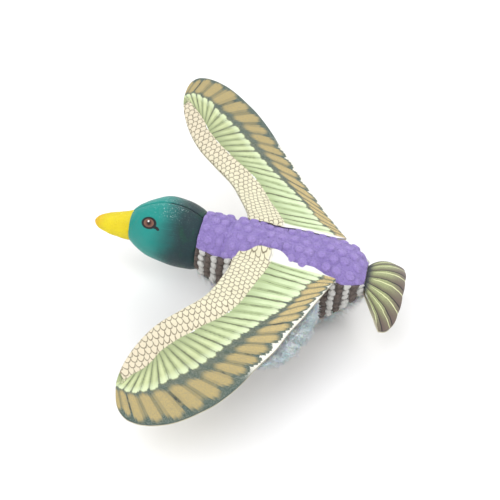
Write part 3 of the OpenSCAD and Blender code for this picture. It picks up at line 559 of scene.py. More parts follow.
def printed_satin():
    made = material("printed_satin", (0.02, 0.27, 0.24), 0.42)
    x, _, z = split_up(made, node(made, "TexCoord", out=3))
    streak = noise(made, 160, 4, place(made, (0.35, 1, 9)), 0.6)
    mottle = noise(made, 700, 3, place(made, (0.6, 1, 2.2)), 0.6)
    wander = calc(made, "MULTIPLY_ADD", noise(made, 30, 3, place(made)), 0.022, x)
    wander = calc(made, "MULTIPLY_ADD", z, 0.12, wander)
    face = ramp_up(made, wander, 0.095, 0.125)
    rear = ramp_up(made, wander, 0.116, 0.084)
    tone = mix(made, face, (0.006, 0.15, 0.14), (0.004, 0.26, 0.225))
    tone = mix(made, calc(made, "MULTIPLY", rear, 0.95), tone, (0.012, 0.026, 0.034))
    green = ramp_up(made, noise(made, 55, 3, place(made, (2, 1, 1))), 0.5, 0.7)
    tone = mix(made, calc(made, "MULTIPLY", green, ramp_up(made, wander, 0.100, 0.086)), tone, (0.008, 0.05, 0.035))
    bright = calc(made, "MULTIPLY_ADD", rear, -0.3, 0.35)
    tone = mix(made, calc(made, "MULTIPLY", ramp_up(made, streak, 0.45, 0.85), bright), tone, (0.02, 0.33, 0.30))
    tone = mix(made, calc(made, "MULTIPLY", ramp_up(made, mottle, 0.55, 0.75), 0.2), tone, (0.06, 0.24, 0.23))
    # Painted highlight: white glints of reflected light on the upward-facing crown.
    _, _, facing_up = split_up(made, node(made, "NewGeometry", out=1))
    crown = calc(made, "MULTIPLY", ramp_up(made, facing_up, 0.72, 0.97), ramp_up(made, x, 0.052, 0.075))
    painted_glints = ramp_up(made, noise(made, 1100, 1, place(made)), 0.66, 0.72)
    tone = mix(made, calc(made, "MULTIPLY", painted_glints, calc(made, "MULTIPLY", crown, 0.75)), tone, (0.6, 0.8, 0.78))
    across = reading(made, "eye_across")
    tilted = calc(made, "MULTIPLY_ADD", across, EYE_TILT, reading(made, "eye_height"))

    def oval(dx, dz, rx, rz, soft=0.06):
        u = calc(made, "DIVIDE", calc(made, "SUBTRACT", across, dx), rx)
        v = calc(made, "DIVIDE", calc(made, "SUBTRACT", tilted, dz), rz)
        far = calc(made, "SQRT", calc(made, "ADD", calc(made, "MULTIPLY", u, u), calc(made, "MULTIPLY", v, v)))
        return ramp_up(made, far, 1 + soft, 1 - soft)

    outline = oval(0, 0, *EYE_SIZE)
    tail_a = oval(-EYE_SIZE[0] * 0.9, -3.2, 4.2, 1.5)
    tail_b = oval(-EYE_SIZE[0] * 1.25, -4.4, 2.0, 1.3)
    iris = oval(0.2, 0, EYE_SIZE[0] - 2.9, EYE_SIZE[1] - 2.0)
    inner = oval(0.0, 0.1, 3.3, 3.2, 0.6)
    pupil = oval(0.0, 0.0, 2.0, 2.1, 0.25)
    glint = oval(0.9, 1.7, 1.1, 1.0, 0.3)
    dark = calc(made, "MAXIMUM", outline, calc(made, "MAXIMUM", tail_a, tail_b))
    tone = mix(made, dark, tone, (0.006, 0.009, 0.012))
    tone = mix(made, iris, tone, (0.21, 0.10, 0.065))
    tone = mix(made, inner, tone, (0.09, 0.025, 0.02))
    tone = mix(made, pupil, tone, (0.012, 0.006, 0.006))
    tone = mix(made, glint, tone, (0.9, 0.88, 0.86))
    tone = mix(made, reading(made, "seam"), tone, (0.008, 0.014, 0.02))
    paint(made, tone)
    shader_of(made).inputs["Specular IOR Level"].default_value = 0.3
    thread = node(made, "TexWave", out=1, settings={"bands_direction": "Z"}, Vector=place(made), Scale=520,
                  Distortion=1.5)
    sparkle = noise(made, 2600, 2, place(made))
    rough = calc(made, "MULTIPLY_ADD", ramp_up(made, sparkle, 0.4, 0.7), 0.3, 0.3)
    connect(made, rough, shader_of(made).inputs["Roughness"])
    bump(made, calc(made, "ADD", thread, calc(made, "MULTIPLY", sparkle, 1.5)), 0.00012)
    return made


satin = printed_satin()
head_rows = smooth_rows(HEAD_SECTIONS, np.linspace(*HEAD_ENDS, 130))
for side, word in ((1, "left"), (-1, "right")):
    angle = side * np.linspace(0.004, math.pi - 0.004, 150)
    base = section_points(head_rows[:, None, :], angle[None, :])
    normal = outward_normals(base, 1, side)
    from_crown = np.abs(angle)[None, :] * head_rows[:, 3:4]
    groove = np.exp(-(from_crown / 0.9) ** 2)
    ends = np.clip(np.minimum((HEAD_ENDS[0] - base[..., 0]) / 2, (base[..., 0] - HEAD_ENDS[1]) / 3.5), 0, 1)
    crease = np.exp(-((base[..., 0] - CHEEK_CREASE[0] + 0.55 * (base[..., 2] - CHEEK_CREASE[1])) / 1.6) ** 2)
    crease *= np.exp(-((base[..., 2] - 82) / 7) ** 2)
    ripple = 0.25 * np.sin(base[..., 0] * 0.21 + 2 * np.abs(angle)) * np.sin(3.1 * np.abs(angle) + 0.4)
    lift = 0.5 + ripple - 0.8 * groove - 0.9 * crease
    lift = lift * np.sqrt(ends) - 1.6 * (1 - ends) ** 2
    side_and_top = head_rows[:, 3:4] + head_rows[:, 1:2] - head_rows[:, 4:5]
    eye_height = (EYE_ANGLE - np.abs(angle)[None, :]) * 0.5 * side_and_top
    dash = (np.sin(base[..., 0] * 2.4) > -0.35) * (base[..., 0] < 84)
    stitch = np.clip(groove * dash * 1.3, 0, 1)
    cover = panel(f"head_{word}_cover", base + normal * lift[..., None], base - normal * SATIN_BACKING,
                  {"seam": stitch, "eye_across": base[..., 0] - EYE_X, "eye_height": eye_height}, side < 0)
    cover.data.materials.append(satin)
    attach(cover, "torso")
    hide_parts(f"head_{word}_panel")

# ---------------------------------------------------------------- bill
# One stuffed cone of brushed yellow knit, rounded at the tip and sewn to the front of the head.
# Its underside and tip are tinted orange.
BILL_SECTIONS = [
    (124.5, 84.5, 50.5, 17, 68, 2), (130, 81.5, 50.5, 16.6, 66.5, 2), (138, 78, 51.5, 15.5, 65, 2),
    (150, 74, 54, 13.5, 64, 2.1), (160, 70.4, 57, 10, 63.5, 2.1), (165, 67.6, 59.4, 6.6, 63.5, 2),
    (167.4, 65.4, 61.6, 3.2, 63.5, 2)]
BILL_ENDS = (124.5, 167.4)
BILL_SIDES = 97


def brushed_knit():
    made = plush("brushed_knit", (0.82, 0.60, 0.003), (0.90, 0.72, 0.004), 0.08, 0.12)
    x, _, z = split_up(made, node(made, "TexCoord", out=3))
    low = ramp_up(made, calc(made, "MULTIPLY_ADD", x, -0.12, z), 0.042, 0.035)
    tip = ramp_up(made, calc(made, "MULTIPLY_ADD", noise(made, 90, 2, place(made)), 0.012, x), 0.160, 0.174)
    tint = calc(made, "MAXIMUM", low, tip)
    paint(made, mix(made, calc(made, "MULTIPLY", tint, 0.55), painted(made), (0.85, 0.36, 0.01)))
    return made


bill_ring = np.linspace(0, 2 * math.pi, BILL_SIDES)
bill_x = BILL_ENDS[0] + (BILL_ENDS[1] - BILL_ENDS[0]) * np.linspace(0, 1, 80) ** 0.8
bill_rows = smooth_rows(BILL_SECTIONS, bill_x)
bill_base = section_points(bill_rows[:, None, :], bill_ring[None, :])
bill_mid = np.stack([bill_base[..., 0], 0 * bill_base[..., 0], np.repeat(bill_rows[:, 4:5], BILL_SIDES, 1)], -1)
outward = bill_base - bill_mid
outward /= np.maximum(np.linalg.norm(outward, axis=-1, keepdims=True), 1e-6)
lump = 0.22 * np.sin(bill_base[..., 0] * 0.5 + 3 * bill_ring) * np.sin(2 * bill_ring + 1)
seam_line = np.exp(-((bill_ring - math.pi) / 0.05) ** 2)[None, :]
bill_out = bill_base + outward * (lump - 0.5 * seam_line)[..., None]
tip_ring = bill_out[-1:] * 0 + bill_out[-1:].mean(1, keepdims=True) + [0.9, 0, 0]
bill_out = np.concatenate([bill_out, tip_ring + (bill_out[-1:] - tip_ring) * 0.5, tip_ring])
inner_mid = np.concatenate([bill_mid, bill_mid[-1:], bill_mid[-1:]])
bill_in = inner_mid + (bill_out - inner_mid) * 0.86
bill_in[-3:, :, 0] -= 1.0
bill = panel("bill_cover_knit", bill_out, bill_in, turned=True)
merge = bill.modifiers.new("seam", "WELD")
merge.merge_threshold = 0.00002
bpy.context.view_layer.objects.active = bill
bpy.ops.object.modifier_apply(modifier="seam")
bill.data.materials.append(brushed_knit())
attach(bill, "torso")
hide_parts("bill_cover")

# ---------------------------------------------------------------- tail
# Two printed felt panels sewn round a thin pad, with seven fanned feathers on the top one.
# Each printed feather has an olive middle, a pale quill and a dark purple edge.
TAIL_TURN = 66
TAIL_FEATHERS = 7
TAIL_ROOT_X, TAIL_REACH, TAIL_ROOT_Z = -127, 41, 61
TAIL_WIDTHS = (16, 36)
FELT = 0.8


def off_quill(a):
    """0 on a feather's quill and 1 on its edges, for an angle in degrees across the fan."""
    return np.abs(2 * (TAIL_FEATHERS * (a + TAIL_TURN) / (2 * TAIL_TURN) % 1) - 1)


def tail_points(r, a, side):
    """Points of the fan at a share r of its length, on its top (side 1) or under side (side -1)."""
    y = (TAIL_WIDTHS[0] + TAIL_WIDTHS[1] * r**0.8) * np.sin(np.radians(90 * a / TAIL_TURN))
    scallop = 1 - 0.02 * off_quill(a) ** 2 * (r > 0.7)
    x = TAIL_ROOT_X - TAIL_REACH * r * scallop * (1 - 0.42 * np.abs(a / TAIL_TURN) ** 3)
    z = TAIL_ROOT_Z - 18 * (y / sum(TAIL_WIDTHS)) ** 2 * (0.4 + 0.6 * r) - 3 * r
    puff = 6 * np.sqrt(np.sin(np.radians(180 * np.minimum(1, 0.15 + 0.85 * r))).clip(0))
    puff = puff * np.sqrt(np.cos(np.radians(80 * a / TAIL_TURN)).clip(0)) + 1
    puff = puff * (1 if side > 0 else 1.6)
    return np.stack([x, y, z + side * puff], -1)


tail_r, tail_a = np.meshgrid(np.linspace(0, 1, 80), np.linspace(-TAIL_TURN, TAIL_TURN, 150), indexing="ij")
tail_feather = TAIL_FEATHERS * (tail_a + TAIL_TURN) / (2 * TAIL_TURN)
tail_top = tail_points(tail_r, tail_a, 1)
tail_top[..., 2] += 0.7 * (1 - off_quill(tail_a) ** 2) * np.sin(math.pi * tail_r) ** 0.5 - 0.4
tail_under = tail_points(tail_r, tail_a, -1)
tail_under[..., 2] -= 0.3 * np.sin(tail_r * 9 + tail_a * 0.1) ** 2


def tail_cloth():
    made = material("tail_print", (0.4, 0.4, 0.3), 0.9)
    number, reach = reading(made, "feather"), reading(made, "reach")
    sway = calc(made, "MULTIPLY", calc(made, "SINE", calc(made, "MULTIPLY", reach, 2.6)), 0.22)
    spot = calc(made, "ADD", number, sway)
    spot = calc(made, "MULTIPLY_ADD", noise(made, 90, 2, place(made)), 0.18, spot)
    share = calc(made, "FRACT", spot)
    grain = noise(made, 1100, 2, place(made), 0.8)
    base = mix(made, ramp_up(made, grain, 0.4, 0.65), (0.25, 0.28, 0.13), (0.38, 0.41, 0.21))
    tone = mix(made, ramp_up(made, share, 0.45, 0.95), base, (0.15, 0.14, 0.085))
    brown = calc(made, "MULTIPLY", ramp_up(made, reach, 0.45, 1.0), 0.8)
    tone = mix(made, brown, tone, (0.13, 0.085, 0.085))
    vein = calc(made, "ABSOLUTE", calc(made, "SUBTRACT", share, 0.28))
    vein = calc(made, "MULTIPLY", ramp_up(made, vein, 0.055, 0.02), ramp_up(made, reach, 0.12, 0.25))
    tone = mix(made, calc(made, "MULTIPLY", vein, 0.85), tone, (0.72, 0.76, 0.42))
    side_line = calc(made, "MAXIMUM", ramp_up(made, share, 0.07, 0.02), ramp_up(made, share, 0.93, 0.98))
    tone = mix(made, calc(made, "MULTIPLY", side_line, 0.9), tone, (0.03, 0.028, 0.03))
    navy = calc(made, "MULTIPLY", ramp_up(made, calc(made, "MULTIPLY_ADD", grain, 0.1, reach), 0.26, 0.08), 0.95)
    tone = mix(made, navy, tone, (0.03, 0.035, 0.05))
    paint(made, tone)
    shader_of(made).inputs["Sheen Weight"].default_value = 0.15
    bump(made, grain, 0.0003)
    return made


lining = soft_cloth("cream_lining", (0.66, 0.62, 0.46), 240)
tail_values = {"feather": tail_feather, "reach": tail_r}
tail_cover = panel("tail_cover", tail_top, tail_top - [0, 0, FELT], tail_values, turned=True)
tail_cover.data.materials.append(tail_cloth())
tail_lining = panel("tail_lining", tail_under + [0, 0, FELT], tail_under, turned=True)
tail_lining.data.materials.append(lining)
for piece, part in ((tail_cover, "tail_top_panel"), (tail_lining, "tail_bottom_panel")):
    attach(piece, "torso")
    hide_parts(part)

# ---------------------------------------------------------------- wings
# A printed plush cover and a cream lining, sewn round thin wadding and a bent steel wire. The print
# has scales in front, pale rounded coverts in the middle and long flight feathers behind. The root
# of each cover is sewn down over the edge of the back strip and hides the wing lever.
WING_ROOT_Y = 33.5
WING_LENGTH = 216
WING_DROP = math.radians(4.8)
WING_OUTLINE = [
    (0, 0, -107), (0.055, 2, -100), (0.14, 9, -90), (0.27, 23, -75), (0.38, 44, -61), (0.49, 65, -49),
    (0.60, 79, -33), (0.72, 89, -17), (0.82, 93, 0), (0.88, 92, 14), (0.935, 89, 29), (0.97, 84, 42),
    (0.993, 77, 56), (1, 69, 65)]
# Every second covert from the root: x and distance out of its root, its tip and the flight feather's tip.
FEATHERS = [
    (-33, -14, -92, -10, -101, -10), (-31, 1, -85, 5, -99, 3), (-25, 16, -71, 19, -93, 10),
    (-14, 38, -60, 38, -86, 22), (-3, 61, -46, 57, -77, 37), (13, 82, -28, 78, -66, 57), (27, 95, -11, 98, -51, 83),
    (40, 108, 4, 117, -36, 110), (52, 120, 18, 135, -21, 134), (61, 131, 34, 152, -4, 160),
    (67, 139, 52, 168, 18, 187), (71, 148, 70, 184, 48, 209), (79, 160, 87, 190, 74, 216),
    (90, 171, 100, 186, 91, 210), (101, 180, 112, 181, 105, 195)]
COVERTS = 24
LIE = {"left": -0.18, "right": 0.18}
CURL = {"left": -0.5e-4, "right": 10.6e-4}
WING_INWARD = -0.03
WING_CLOTH = 0.8
SHOULDER_X, SHOULDER_Z, SHOULDER_Y = -0.04, 0.079, (0.029, 0.037)
BLOWN_ROWS, BLOWN_COLS, BLOWN_STEPS = 76, 44, 20
COVER_PRESSURE, COVER_SWELL = 3.0, 3.0
ROOT_REACH, ROOT_X, ROOT_SPREAD = 8.0, -27, 19


def wing_edges(v):
    """Front and back edge at a share v of the wing's length, below 0 inside the root seam."""
    rows = smooth_rows(WING_OUTLINE, np.clip(v, 0, 1))
    inward = np.clip(v / WING_INWARD, 0, 1)
    return rows[..., 1] - 6 * inward, rows[..., 2] + 24 * inward


def wing_surface(u, v, word, over):
    """Points of a wing from front (u 0) to back (u 1), on its top (over 1) or under side (over -1)."""
    side = 1 if word == "left" else -1
    b = v * WING_LENGTH
    front, back = wing_edges(v)
    x = 8 + front + u * (back - front) + LIE[word] * b
    curl = CURL[word] * np.maximum(b, 0) ** 2
    middle = 79 - b * math.sin(WING_DROP) + curl
    y = side * (WING_ROOT_Y + b * math.cos(WING_DROP))
    full = (1 - 0.25 * v) * np.sqrt(np.clip(1 - np.clip(v, 0, 1) ** 8, 0, 1))
    q = np.clip(u, 0, 1) ** 0.75
    puff = 1 + 3.2 * full * np.sqrt(np.clip(4 * q * (1 - q), 0, 1))
    return np.stack([x, y, middle + over * puff], -1)


def feather_map(a, b):
    """Feather number and distance along it, for points in wing millimetres.
    Distance runs 0 to 1 over the coverts and 1 to 2 over the flight feathers, and is negative on the scales."""
    table = [(2 * k - 2, *row) for k, row in enumerate(FEATHERS)]
    rows = smooth_rows(table, np.linspace(-2, COVERTS + 2, 105))
    roots, tips, ends = rows[:, 1:3], rows[:, 3:5], rows[:, 5:7]
    t = np.linspace(-0.6, 2.6, 257)[:, None]
    first = roots[None] + (tips - roots)[None] * np.clip(t, None, 1)[..., None]
    lattice = first + (ends - tips)[None] * np.clip(t - 1, 0, None)[..., None]
    number = np.broadcast_to(rows[None, :, 0], lattice.shape[:2]).ravel()
    along = np.broadcast_to(t, lattice.shape[:2]).ravel()
    tree = KDTree(len(number))
    for k, (x, y) in enumerate(lattice.reshape(-1, 2).tolist()):
        tree.insert((x, y, 0), k)
    tree.balance()
    found = []
    for x, y in zip(a.ravel().tolist(), b.ravel().tolist()):
        close = tree.find_n((x, y, 0), 4)
        weights = [1 / (far * far + 0.02) for _, _, far in close]
        total = sum(weights)
        found.append((sum(w * number[c[1]] for w, c in zip(weights, close)) / total,
                      sum(w * along[c[1]] for w, c in zip(weights, close)) / total))
    return np.array(found).T.reshape(2, *a.shape)


def wing_print():
    made = material("wing_print", (0.7, 0.7, 0.5), 0.92)
    number, along, a_mm, b_mm = [reading(made, word) for word in ("number", "along", "across", "out")]
    waver = calc(made, "MULTIPLY_ADD", noise(made, 110, 2, place(made)), 0.05, -0.025)
    grain = noise(made, 1100, 2, place(made), 0.8)
    stipple = ramp_up(made, grain, 0.42, 0.62)
    along = calc(made, "ADD", along, calc(made, "MULTIPLY_ADD", grain, 0.012, -0.006))
    outward = ramp_up(made, b_mm, 30, 150)

    def one_feather(each, stop, roundness):
        """Distance from the middle of a feather, 0 to 1, and how much of its rounded length is left."""
        spot = calc(made, "MULTIPLY_ADD", number, each, calc(made, "MULTIPLY", waver, 2.5))
        middle = calc(made, "ABSOLUTE", calc(made, "MULTIPLY_ADD", calc(made, "FRACT", spot), 2.0, -1.0))
        own = node(made, "TexWhiteNoise", settings={"noise_dimensions": "1D"}, W=calc(made, "FLOOR", spot))
        square = calc(made, "POWER", middle, 2.2)
        rounded = calc(made, "SQRT", calc(made, "SUBTRACT", 1.0, square, clamp=True))
        tip = calc(made, "MULTIPLY_ADD", rounded, roundness, stop - roundness)
        tip = calc(made, "MULTIPLY_ADD", own, 0.05, calc(made, "SUBTRACT", tip, 0.025))
        return middle, calc(made, "SUBTRACT", tip, along), own

    middle, left, own = one_feather(1.0, 1, 0.16)
    covert = ramp_up(made, left, -0.008, 0.008)
    edge = calc(made, "MAXIMUM", ramp_up(made, middle, 0.80, 0.95), ramp_up(made, left, 0.05, 0.015))
    pale = mix(made, outward, (0.63, 0.75, 0.46), (0.53, 0.59, 0.31))
    deep = mix(made, outward, (0.33, 0.42, 0.20), (0.25, 0.30, 0.14))
    vane = mix(made, ramp_up(made, calc(made, "ADD", middle, calc(made, "MULTIPLY", stipple, 0.25)), 0.3, 1.0),
               pale, deep)
    vane = mix(made, calc(made, "MULTIPLY", own, 0.22), vane, deep)
    # Painted shade: the coverts darken towards their bases, in the sewn valley behind the scales.
    vane = mix(made, calc(made, "MULTIPLY", ramp_up(made, along, 0.55, 0.0), 0.75), vane, deep)
    vane = mix(made, calc(made, "MULTIPLY", ramp_up(made, left, 0.3, 0.08), 0.45), vane, (0.74, 0.84, 0.58))
    coverts = mix(made, calc(made, "MULTIPLY", edge, 0.85), vane, (0.085, 0.095, 0.045))

    middle, left, own = one_feather(0.8, 2, 0.17)
    tan = mix(made, outward, (0.60, 0.46, 0.20), (0.44, 0.34, 0.14))
    tan = mix(made, calc(made, "MULTIPLY", stipple, 0.7), tan, (0.19, 0.16, 0.07))
    flight = mix(made, calc(made, "MULTIPLY", ramp_up(made, middle, 0.4, 1.0), 0.75), tan, (0.12, 0.125, 0.07))
    thin = mix(made, outward, (0.90, 0.90, 0.90), (0.94, 0.94, 0.94))
    line = ramp_up(made, calc(made, "SUBTRACT", middle, thin), 0.0, 0.05)
    flight = mix(made, line, flight, (0.035, 0.04, 0.028))
    teal = mix(made, stipple, (0.035, 0.07, 0.06), (0.085, 0.12, 0.10))
    tip = ramp_up(made, calc(made, "MULTIPLY_ADD", middle, -0.10, left), 0.17, 0.0)
    flight = mix(made, calc(made, "MULTIPLY", tip, 0.95), flight, teal)
    reach = calc(made, "MULTIPLY", ramp_up(made, b_mm, 20, 80), ramp_up(made, b_mm, 200, 150))
    reach = calc(made, "MULTIPLY_ADD", reach, 0.24, 1.02)
    near_tips = calc(made, "SUBTRACT", calc(made, "MULTIPLY_ADD", middle, 0.12, reach), along)
    flight = mix(made, calc(made, "MULTIPLY", ramp_up(made, near_tips, -0.05, 0.16), 0.9), flight, teal)
    cloth = mix(made, stipple, (0.74, 0.72, 0.62), (0.84, 0.83, 0.76))
    cloth = mix(made, ramp_up(made, b_mm, 125, 150), cloth, teal)
    flight = mix(made, ramp_up(made, left, 0.012, -0.012), flight, cloth)

    shift = noise(made, 95, 2, place(made))
    turned = calc(made, "MULTIPLY_ADD", b_mm, 0.42, calc(made, "MULTIPLY_ADD", shift, 5.0, a_mm))
    rowed = calc(made, "MULTIPLY_ADD", a_mm, -0.42, calc(made, "MULTIPLY_ADD", shift, -4.0, b_mm))
    row = calc(made, "DIVIDE", rowed, calc(made, "MULTIPLY_ADD", outward, 2.2, 4.7))
    half = calc(made, "MULTIPLY", calc(made, "FLOORED_MODULO", calc(made, "FLOOR", row), 2.0), 0.5)
    column = calc(made, "ADD", calc(made, "DIVIDE", turned, 6.6), half)
    centre = calc(made, "MULTIPLY_ADD", calc(made, "FRACT", column), 2.0, -1.0)
    rise = calc(made, "DIVIDE", calc(made, "FRACT", row), 0.95)
    arc = calc(made, "SUBTRACT", calc(made, "MULTIPLY_ADD", rise, rise, calc(made, "MULTIPLY", centre, centre)), 1.0)
    cream = mix(made, outward, (0.72, 0.69, 0.50), (0.68, 0.60, 0.45))
    cream = mix(made, calc(made, "MULTIPLY", ramp_up(made, shift, 0.3, 0.7), 0.35), cream, (0.60, 0.55, 0.40))
    # Painted shade: each scale darkens just below the edge of the scale that overlaps it.
    cream = mix(made, calc(made, "MULTIPLY", ramp_up(made, arc, 0.65, 0.1), ramp_up(made, arc, -0.02, 0.02)),
                cream, [0.72 * c for c in (0.66, 0.60, 0.43)])
    line = ramp_up(made, calc(made, "ABSOLUTE", arc), 0.26, 0.10)
    scales = mix(made, calc(made, "MULTIPLY", line, 0.9), cream, (0.13, 0.10, 0.055))

    tone = mix(made, covert, flight, coverts)
    tone = mix(made, ramp_up(made, along, 0.01, -0.01), tone, scales)
    band = calc(made, "MULTIPLY", ramp_up(made, b_mm, 0.5, -1.5), ramp_up(made, along, -0.1, 0.05))
    tone = mix(made, band, tone, (0.80, 0.79, 0.76))
    tone = mix(made, calc(made, "MULTIPLY", stipple, 0.10), tone, (0.85, 0.86, 0.75))
    paint(made, tone)
    shader_of(made).inputs["Sheen Weight"].default_value = 0.12
    bump(made, grain, 0.00035)
    return made


def inflated(name, top, under, firm, turned):
    """The top grid after its closed form is blown up as cloth. Firm points, from 0 to 1, are sewn down."""
    rows = np.unique(np.linspace(0, top.shape[0] - 1, BLOWN_ROWS).round().astype(int))
    cols = np.unique(np.linspace(0, top.shape[1] - 1, BLOWN_COLS).round().astype(int))
    mesh_at = np.ix_(rows, cols)
    form = panel(name, top[mesh_at], under[mesh_at], turned=turned)
    sewn = form.vertex_groups.new(name="sewn")
    for k, hold in enumerate(np.tile(firm[mesh_at].ravel(), 2).tolist()):
        sewn.add([k], hold, "REPLACE")
    cloth = form.modifiers.new("cloth", "CLOTH")
    cloth.settings.vertex_group_mass = "sewn"
    cloth.settings.use_pressure = True
    cloth.settings.uniform_pressure_force = COVER_PRESSURE
    cloth.settings.effector_weights.gravity = 0
    cloth.settings.tension_stiffness = 8
    cloth.settings.compression_stiffness = 8
    cloth.settings.bending_stiffness = 0.05
    for step in range(1, BLOWN_STEPS + 1):
        bpy.context.scene.frame_set(step)
    blown = form.evaluated_get(bpy.context.evaluated_depsgraph_get()).data
    place_now = np.array([v.co for v in blown.vertices])[:len(rows) * len(cols)].reshape(len(rows), len(cols), 3)
    moved = place_now / MM - top[mesh_at]
    far = np.linalg.norm(moved, axis=-1, keepdims=True)
    moved *= np.minimum(1, COVER_SWELL / np.maximum(far, 1e-6))
    moved[..., :2] *= 0.4
    moved[..., 2] = np.maximum(moved[..., 2], 0)
    bpy.data.objects.remove(form)
    bpy.context.scene.frame_set(1)
    wide = np.stack([[np.interp(np.arange(top.shape[1]), cols, line[:, k]) for line in moved] for k in range(3)], -1)
    full = np.stack([[np.interp(np.arange(top.shape[0]), rows, wide[:, c, k]) for c in range(top.shape[1])]
                     for k in range(3)], -1).transpose(1, 0, 2)
    return top + full


printed_wing = wing_print()
for side, word in ((1, "left"), (-1, "right")):
    v = np.concatenate([np.linspace(WING_INWARD, 0.86, 250), np.linspace(0.8625, 1, 70)])
    u = 0.5 - 0.5 * np.cos(np.linspace(0, math.pi, 190))
    grid_v, grid_u = np.meshgrid(v, u, indexing="ij")
    top = wing_surface(grid_u, grid_v, word, 1.0)
    under = wing_surface(grid_u, grid_v, word, -1.0)
    out_mm = grid_v * WING_LENGTH
    across = top[..., 0] - LIE[word] * out_mm
    number, along = feather_map(across, out_mm)
    near = np.clip(1 - np.abs(along) / 0.12, 0, 1)
    border = np.clip(np.minimum(grid_u, 1 - grid_u) / 0.06, 0, 1) * np.clip((1 - grid_v) / 0.03, 0, 1)
    sewn_line = np.clip(1 - np.abs(along) / 0.05, 0, 1) * (out_mm > 12)
    firm = np.maximum(np.where(border < 0.3, 1, 0), 0.75 * sewn_line)
    firm = np.where(grid_v < 0.01, 1, firm)
    top = inflated(f"{word}_wing_form", top, under, firm, side > 0)
    puckers = -0.9 * near**2 * np.clip(out_mm / 25, 0, 1)
    rib = np.cos(2 * math.pi * number) * np.clip(along * 4, 0, 1) * np.clip((2 - along) * 2, 0, 1)
    shoulder = 2.6 * np.exp(-(((out_mm - 8) / 24) ** 2)) * np.exp(-(((grid_u - 0.22) / 0.2) ** 2))
    wave = 0.35 * np.sin(out_mm * 0.23 + across * 0.05) * np.sin(across * 0.11 + 1)
    top[..., 2] += (puckers - 0.1 * rib + shoulder + wave) * border
    inward = np.clip(grid_v / WING_INWARD, 0, 1)
    top[..., 1] -= side * ROOT_REACH * inward * np.exp(-(((top[..., 0] - ROOT_X) / ROOT_SPREAD) ** 4))
    below = smooth_rows(BACK_SECTIONS, np.clip(top[..., 0], -90, 30))
    share = np.clip(np.abs(top[..., 1]) / below[..., 3], 0, 1)
    body_z = below[..., 4] + (below[..., 1] - below[..., 4]) * (1 - share ** below[..., 5]) ** (1 / below[..., 5])
    over_strip = np.clip((0.04 - grid_v) / 0.02, 0, 1)
    lift = 4.6 + 1.4 * np.exp(-(((top[..., 0] + 15) / 7) ** 2))
    top[..., 2] += over_strip * np.maximum(body_z + lift - 0.9 * inward - top[..., 2], 0)
    values = {"number": number, "along": along, "across": across, "out": out_mm}
    cover = panel(f"{word}_wing_cover", top, top - [0, 0, WING_CLOTH], values, side > 0)
    cover.data.materials.append(printed_wing)
    wing_lining = panel(f"{word}_wing_lining", under + [0, 0, WING_CLOTH], under, turned=side > 0)
    wing_lining.data.materials.append(lining)
    start, end = [(SHOULDER_X, side * y, SHOULDER_Z) for y in SHOULDER_Y]
    for piece, part, slot in ((cover, "top", "wing_print"), (wing_lining, "bottom", "wing_lining")):
        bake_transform(piece)
        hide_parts(f"{word}_wing_{part}")

# ---------------------------------------------------------------- underwing pile
# A band of loose white pile sewn under the inner back edge of each wing.
# A soft folded pad carries the strands, which hang behind the feathers as a fringe.
PILE_REACH = {"left": (-11.5, 5.0, -6.0), "right": (4.0, 1.0, -5.0)}
PILE_FROM, PILE_LONG = 0.16, 0.415
WING_STRANDS, WING_STRAND_WIDTH = 11000, 0.42
for side, word in ((1, "left"), (-1, "right")):
    rng = np.random.default_rng(20 + side)
    v, w = np.meshgrid(np.linspace(PILE_FROM, 0.575, 130), np.linspace(0, 1, 70), indexing="ij")
    taper = np.sin(math.pi * (v - PILE_FROM) / PILE_LONG).clip(0.02, 1) ** 0.8
    edge = wing_surface(1.0 + 0 * v, v, word, 0.0)
    start = wing_surface(0.5 + 0 * v, v, word, -1.0)
    reach = np.array(PILE_REACH[word])
    rim = edge + reach * taper[..., None] - [0, 0, 1.5]
    base = start + (rim - start) * w[..., None]
    seat = wing_surface(np.clip(0.5 + w * 0.55, 0, 1), v, word, -1.0)
    base[..., 2] = np.minimum(base[..., 2], seat[..., 2] - 0.3)
    fold = np.sin(v * WING_LENGTH * 0.55 + 1.5 * np.sin(w * 3)) * 0.9 + np.sin(v * WING_LENGTH * 0.27 + 2) * 0.8
    ruffle = base.copy()
    ruffle[..., 2] += 0.9 * (fold - 1.7) * w**2 * taper
    ruffle[..., 0] -= 0.8 * fold * w**2 * taper
    thick = 1.0 + 3.6 * np.sin(math.pi * w) ** 0.5 * taper
    lower = ruffle.copy()
    lower[..., 2] -= thick + 0.3 * rng.random(v.shape)
    pad = panel(f"{word}_underwing_pad", ruffle, lower, turned=side > 0)
    i = rng.integers(0, v.shape[0], WING_STRANDS)
    j = (v.shape[1] * rng.random(WING_STRANDS) ** 0.5).astype(int)
    above = (rng.random(WING_STRANDS) < 0.65) & (j > 38)
    roots = np.where(above[:, None], ruffle[i, j] - [0, 0, 0.2], lower[i, j] + [0, 0, 0.3])
    fall = reach / 12 + rng.normal(size=(WING_STRANDS, 3)) * 0.2
    fall[:, 2] += np.where(above, 0.28, -0.35)
    fall /= np.linalg.norm(fall, axis=1, keepdims=True)
    length = rng.uniform(2.6, 4.8, WING_STRANDS)
    pile = strands(f"{word}_underwing_pile", roots, fall, length, WING_STRAND_WIDTH, 40 + side)
    for piece in (pad, pile):
        piece.data.materials.append(pile_white)
        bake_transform(piece)
    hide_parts(f"{word}_underwing_plush")

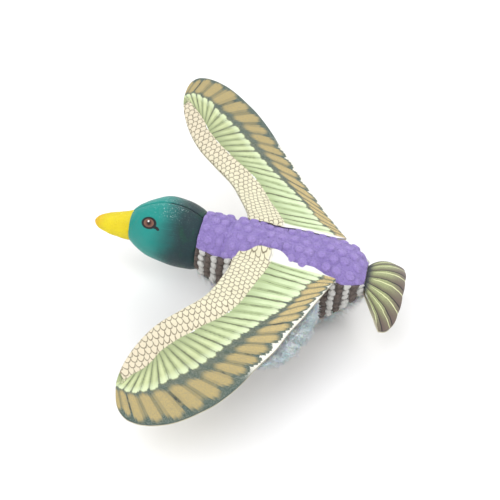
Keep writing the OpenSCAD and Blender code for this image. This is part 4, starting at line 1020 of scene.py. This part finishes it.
# ---------------------------------------------------------------- studio
# Pale floor, three large soft lights and a plain white world.
# The camera is high on the bird's left and looks down across its back.
bpy.ops.mesh.primitive_plane_add(size=12, location=(0, 0, 0))
floor = bpy.context.object
floor.name = "floor"
floor_paint = material("floor_paint", (0.84, 0.85, 0.86), 0.6)
floor_tone = mix(floor_paint, noise(floor_paint, 3, 2, place(floor_paint)), (0.86, 0.86, 0.87), (0.88, 0.88, 0.89))
paint(floor_paint, floor_tone)
floor.data.materials.append(floor_paint)
floor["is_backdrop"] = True


def soft_light(name, spot, target, size, power, colour=(1, 1, 1)):
    lamp = bpy.data.lights.new(name, "AREA")
    lamp.shape = "SQUARE"
    lamp.size = size
    lamp.energy = power
    lamp.color = colour
    holder = bpy.data.objects.new(name, lamp)
    holder.location = spot
    holder.rotation_euler = (Vector(target) - Vector(spot)).to_track_quat("-Z", "Y").to_euler()
    bpy.context.collection.objects.link(holder)


soft_light("key", (0.6, 0.9, 1.5), (0, 0, 0.05), 1.6, 20)
soft_light("fill", (-1.3, 0.4, 1.0), (0, 0, 0.05), 1.4, 10)
soft_light("back", (0.3, -1.4, 1.2), (0, 0, 0.05), 1.2, 12)
world = bpy.data.worlds.new("studio")
world.use_nodes = True
world.node_tree.nodes["Background"].inputs["Color"].default_value = (1, 1, 1, 1)
world.node_tree.nodes["Background"].inputs["Strength"].default_value = 0.7
bpy.context.scene.world = world
bpy.context.scene.view_settings.view_transform = "Standard"

CAMERA_SPOT = Vector((-0.1394, 0.7566, 0.7110))
CAMERA_AIM = Vector((0.0022, -0.0291, 0.0411))
lens = bpy.data.cameras.new("camera")
lens.lens = 68.87
lens.sensor_width = 36
camera = bpy.data.objects.new("camera", lens)
camera.location = CAMERA_SPOT
view = (CAMERA_AIM - CAMERA_SPOT).normalized()
level = view.to_track_quat("-Z", "Y")
camera.rotation_mode = "QUATERNION"
camera.rotation_quaternion = Quaternion(view, math.radians(-5.17)) @ level
bpy.context.collection.objects.link(camera)
bpy.context.scene.camera = camera

low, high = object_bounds()
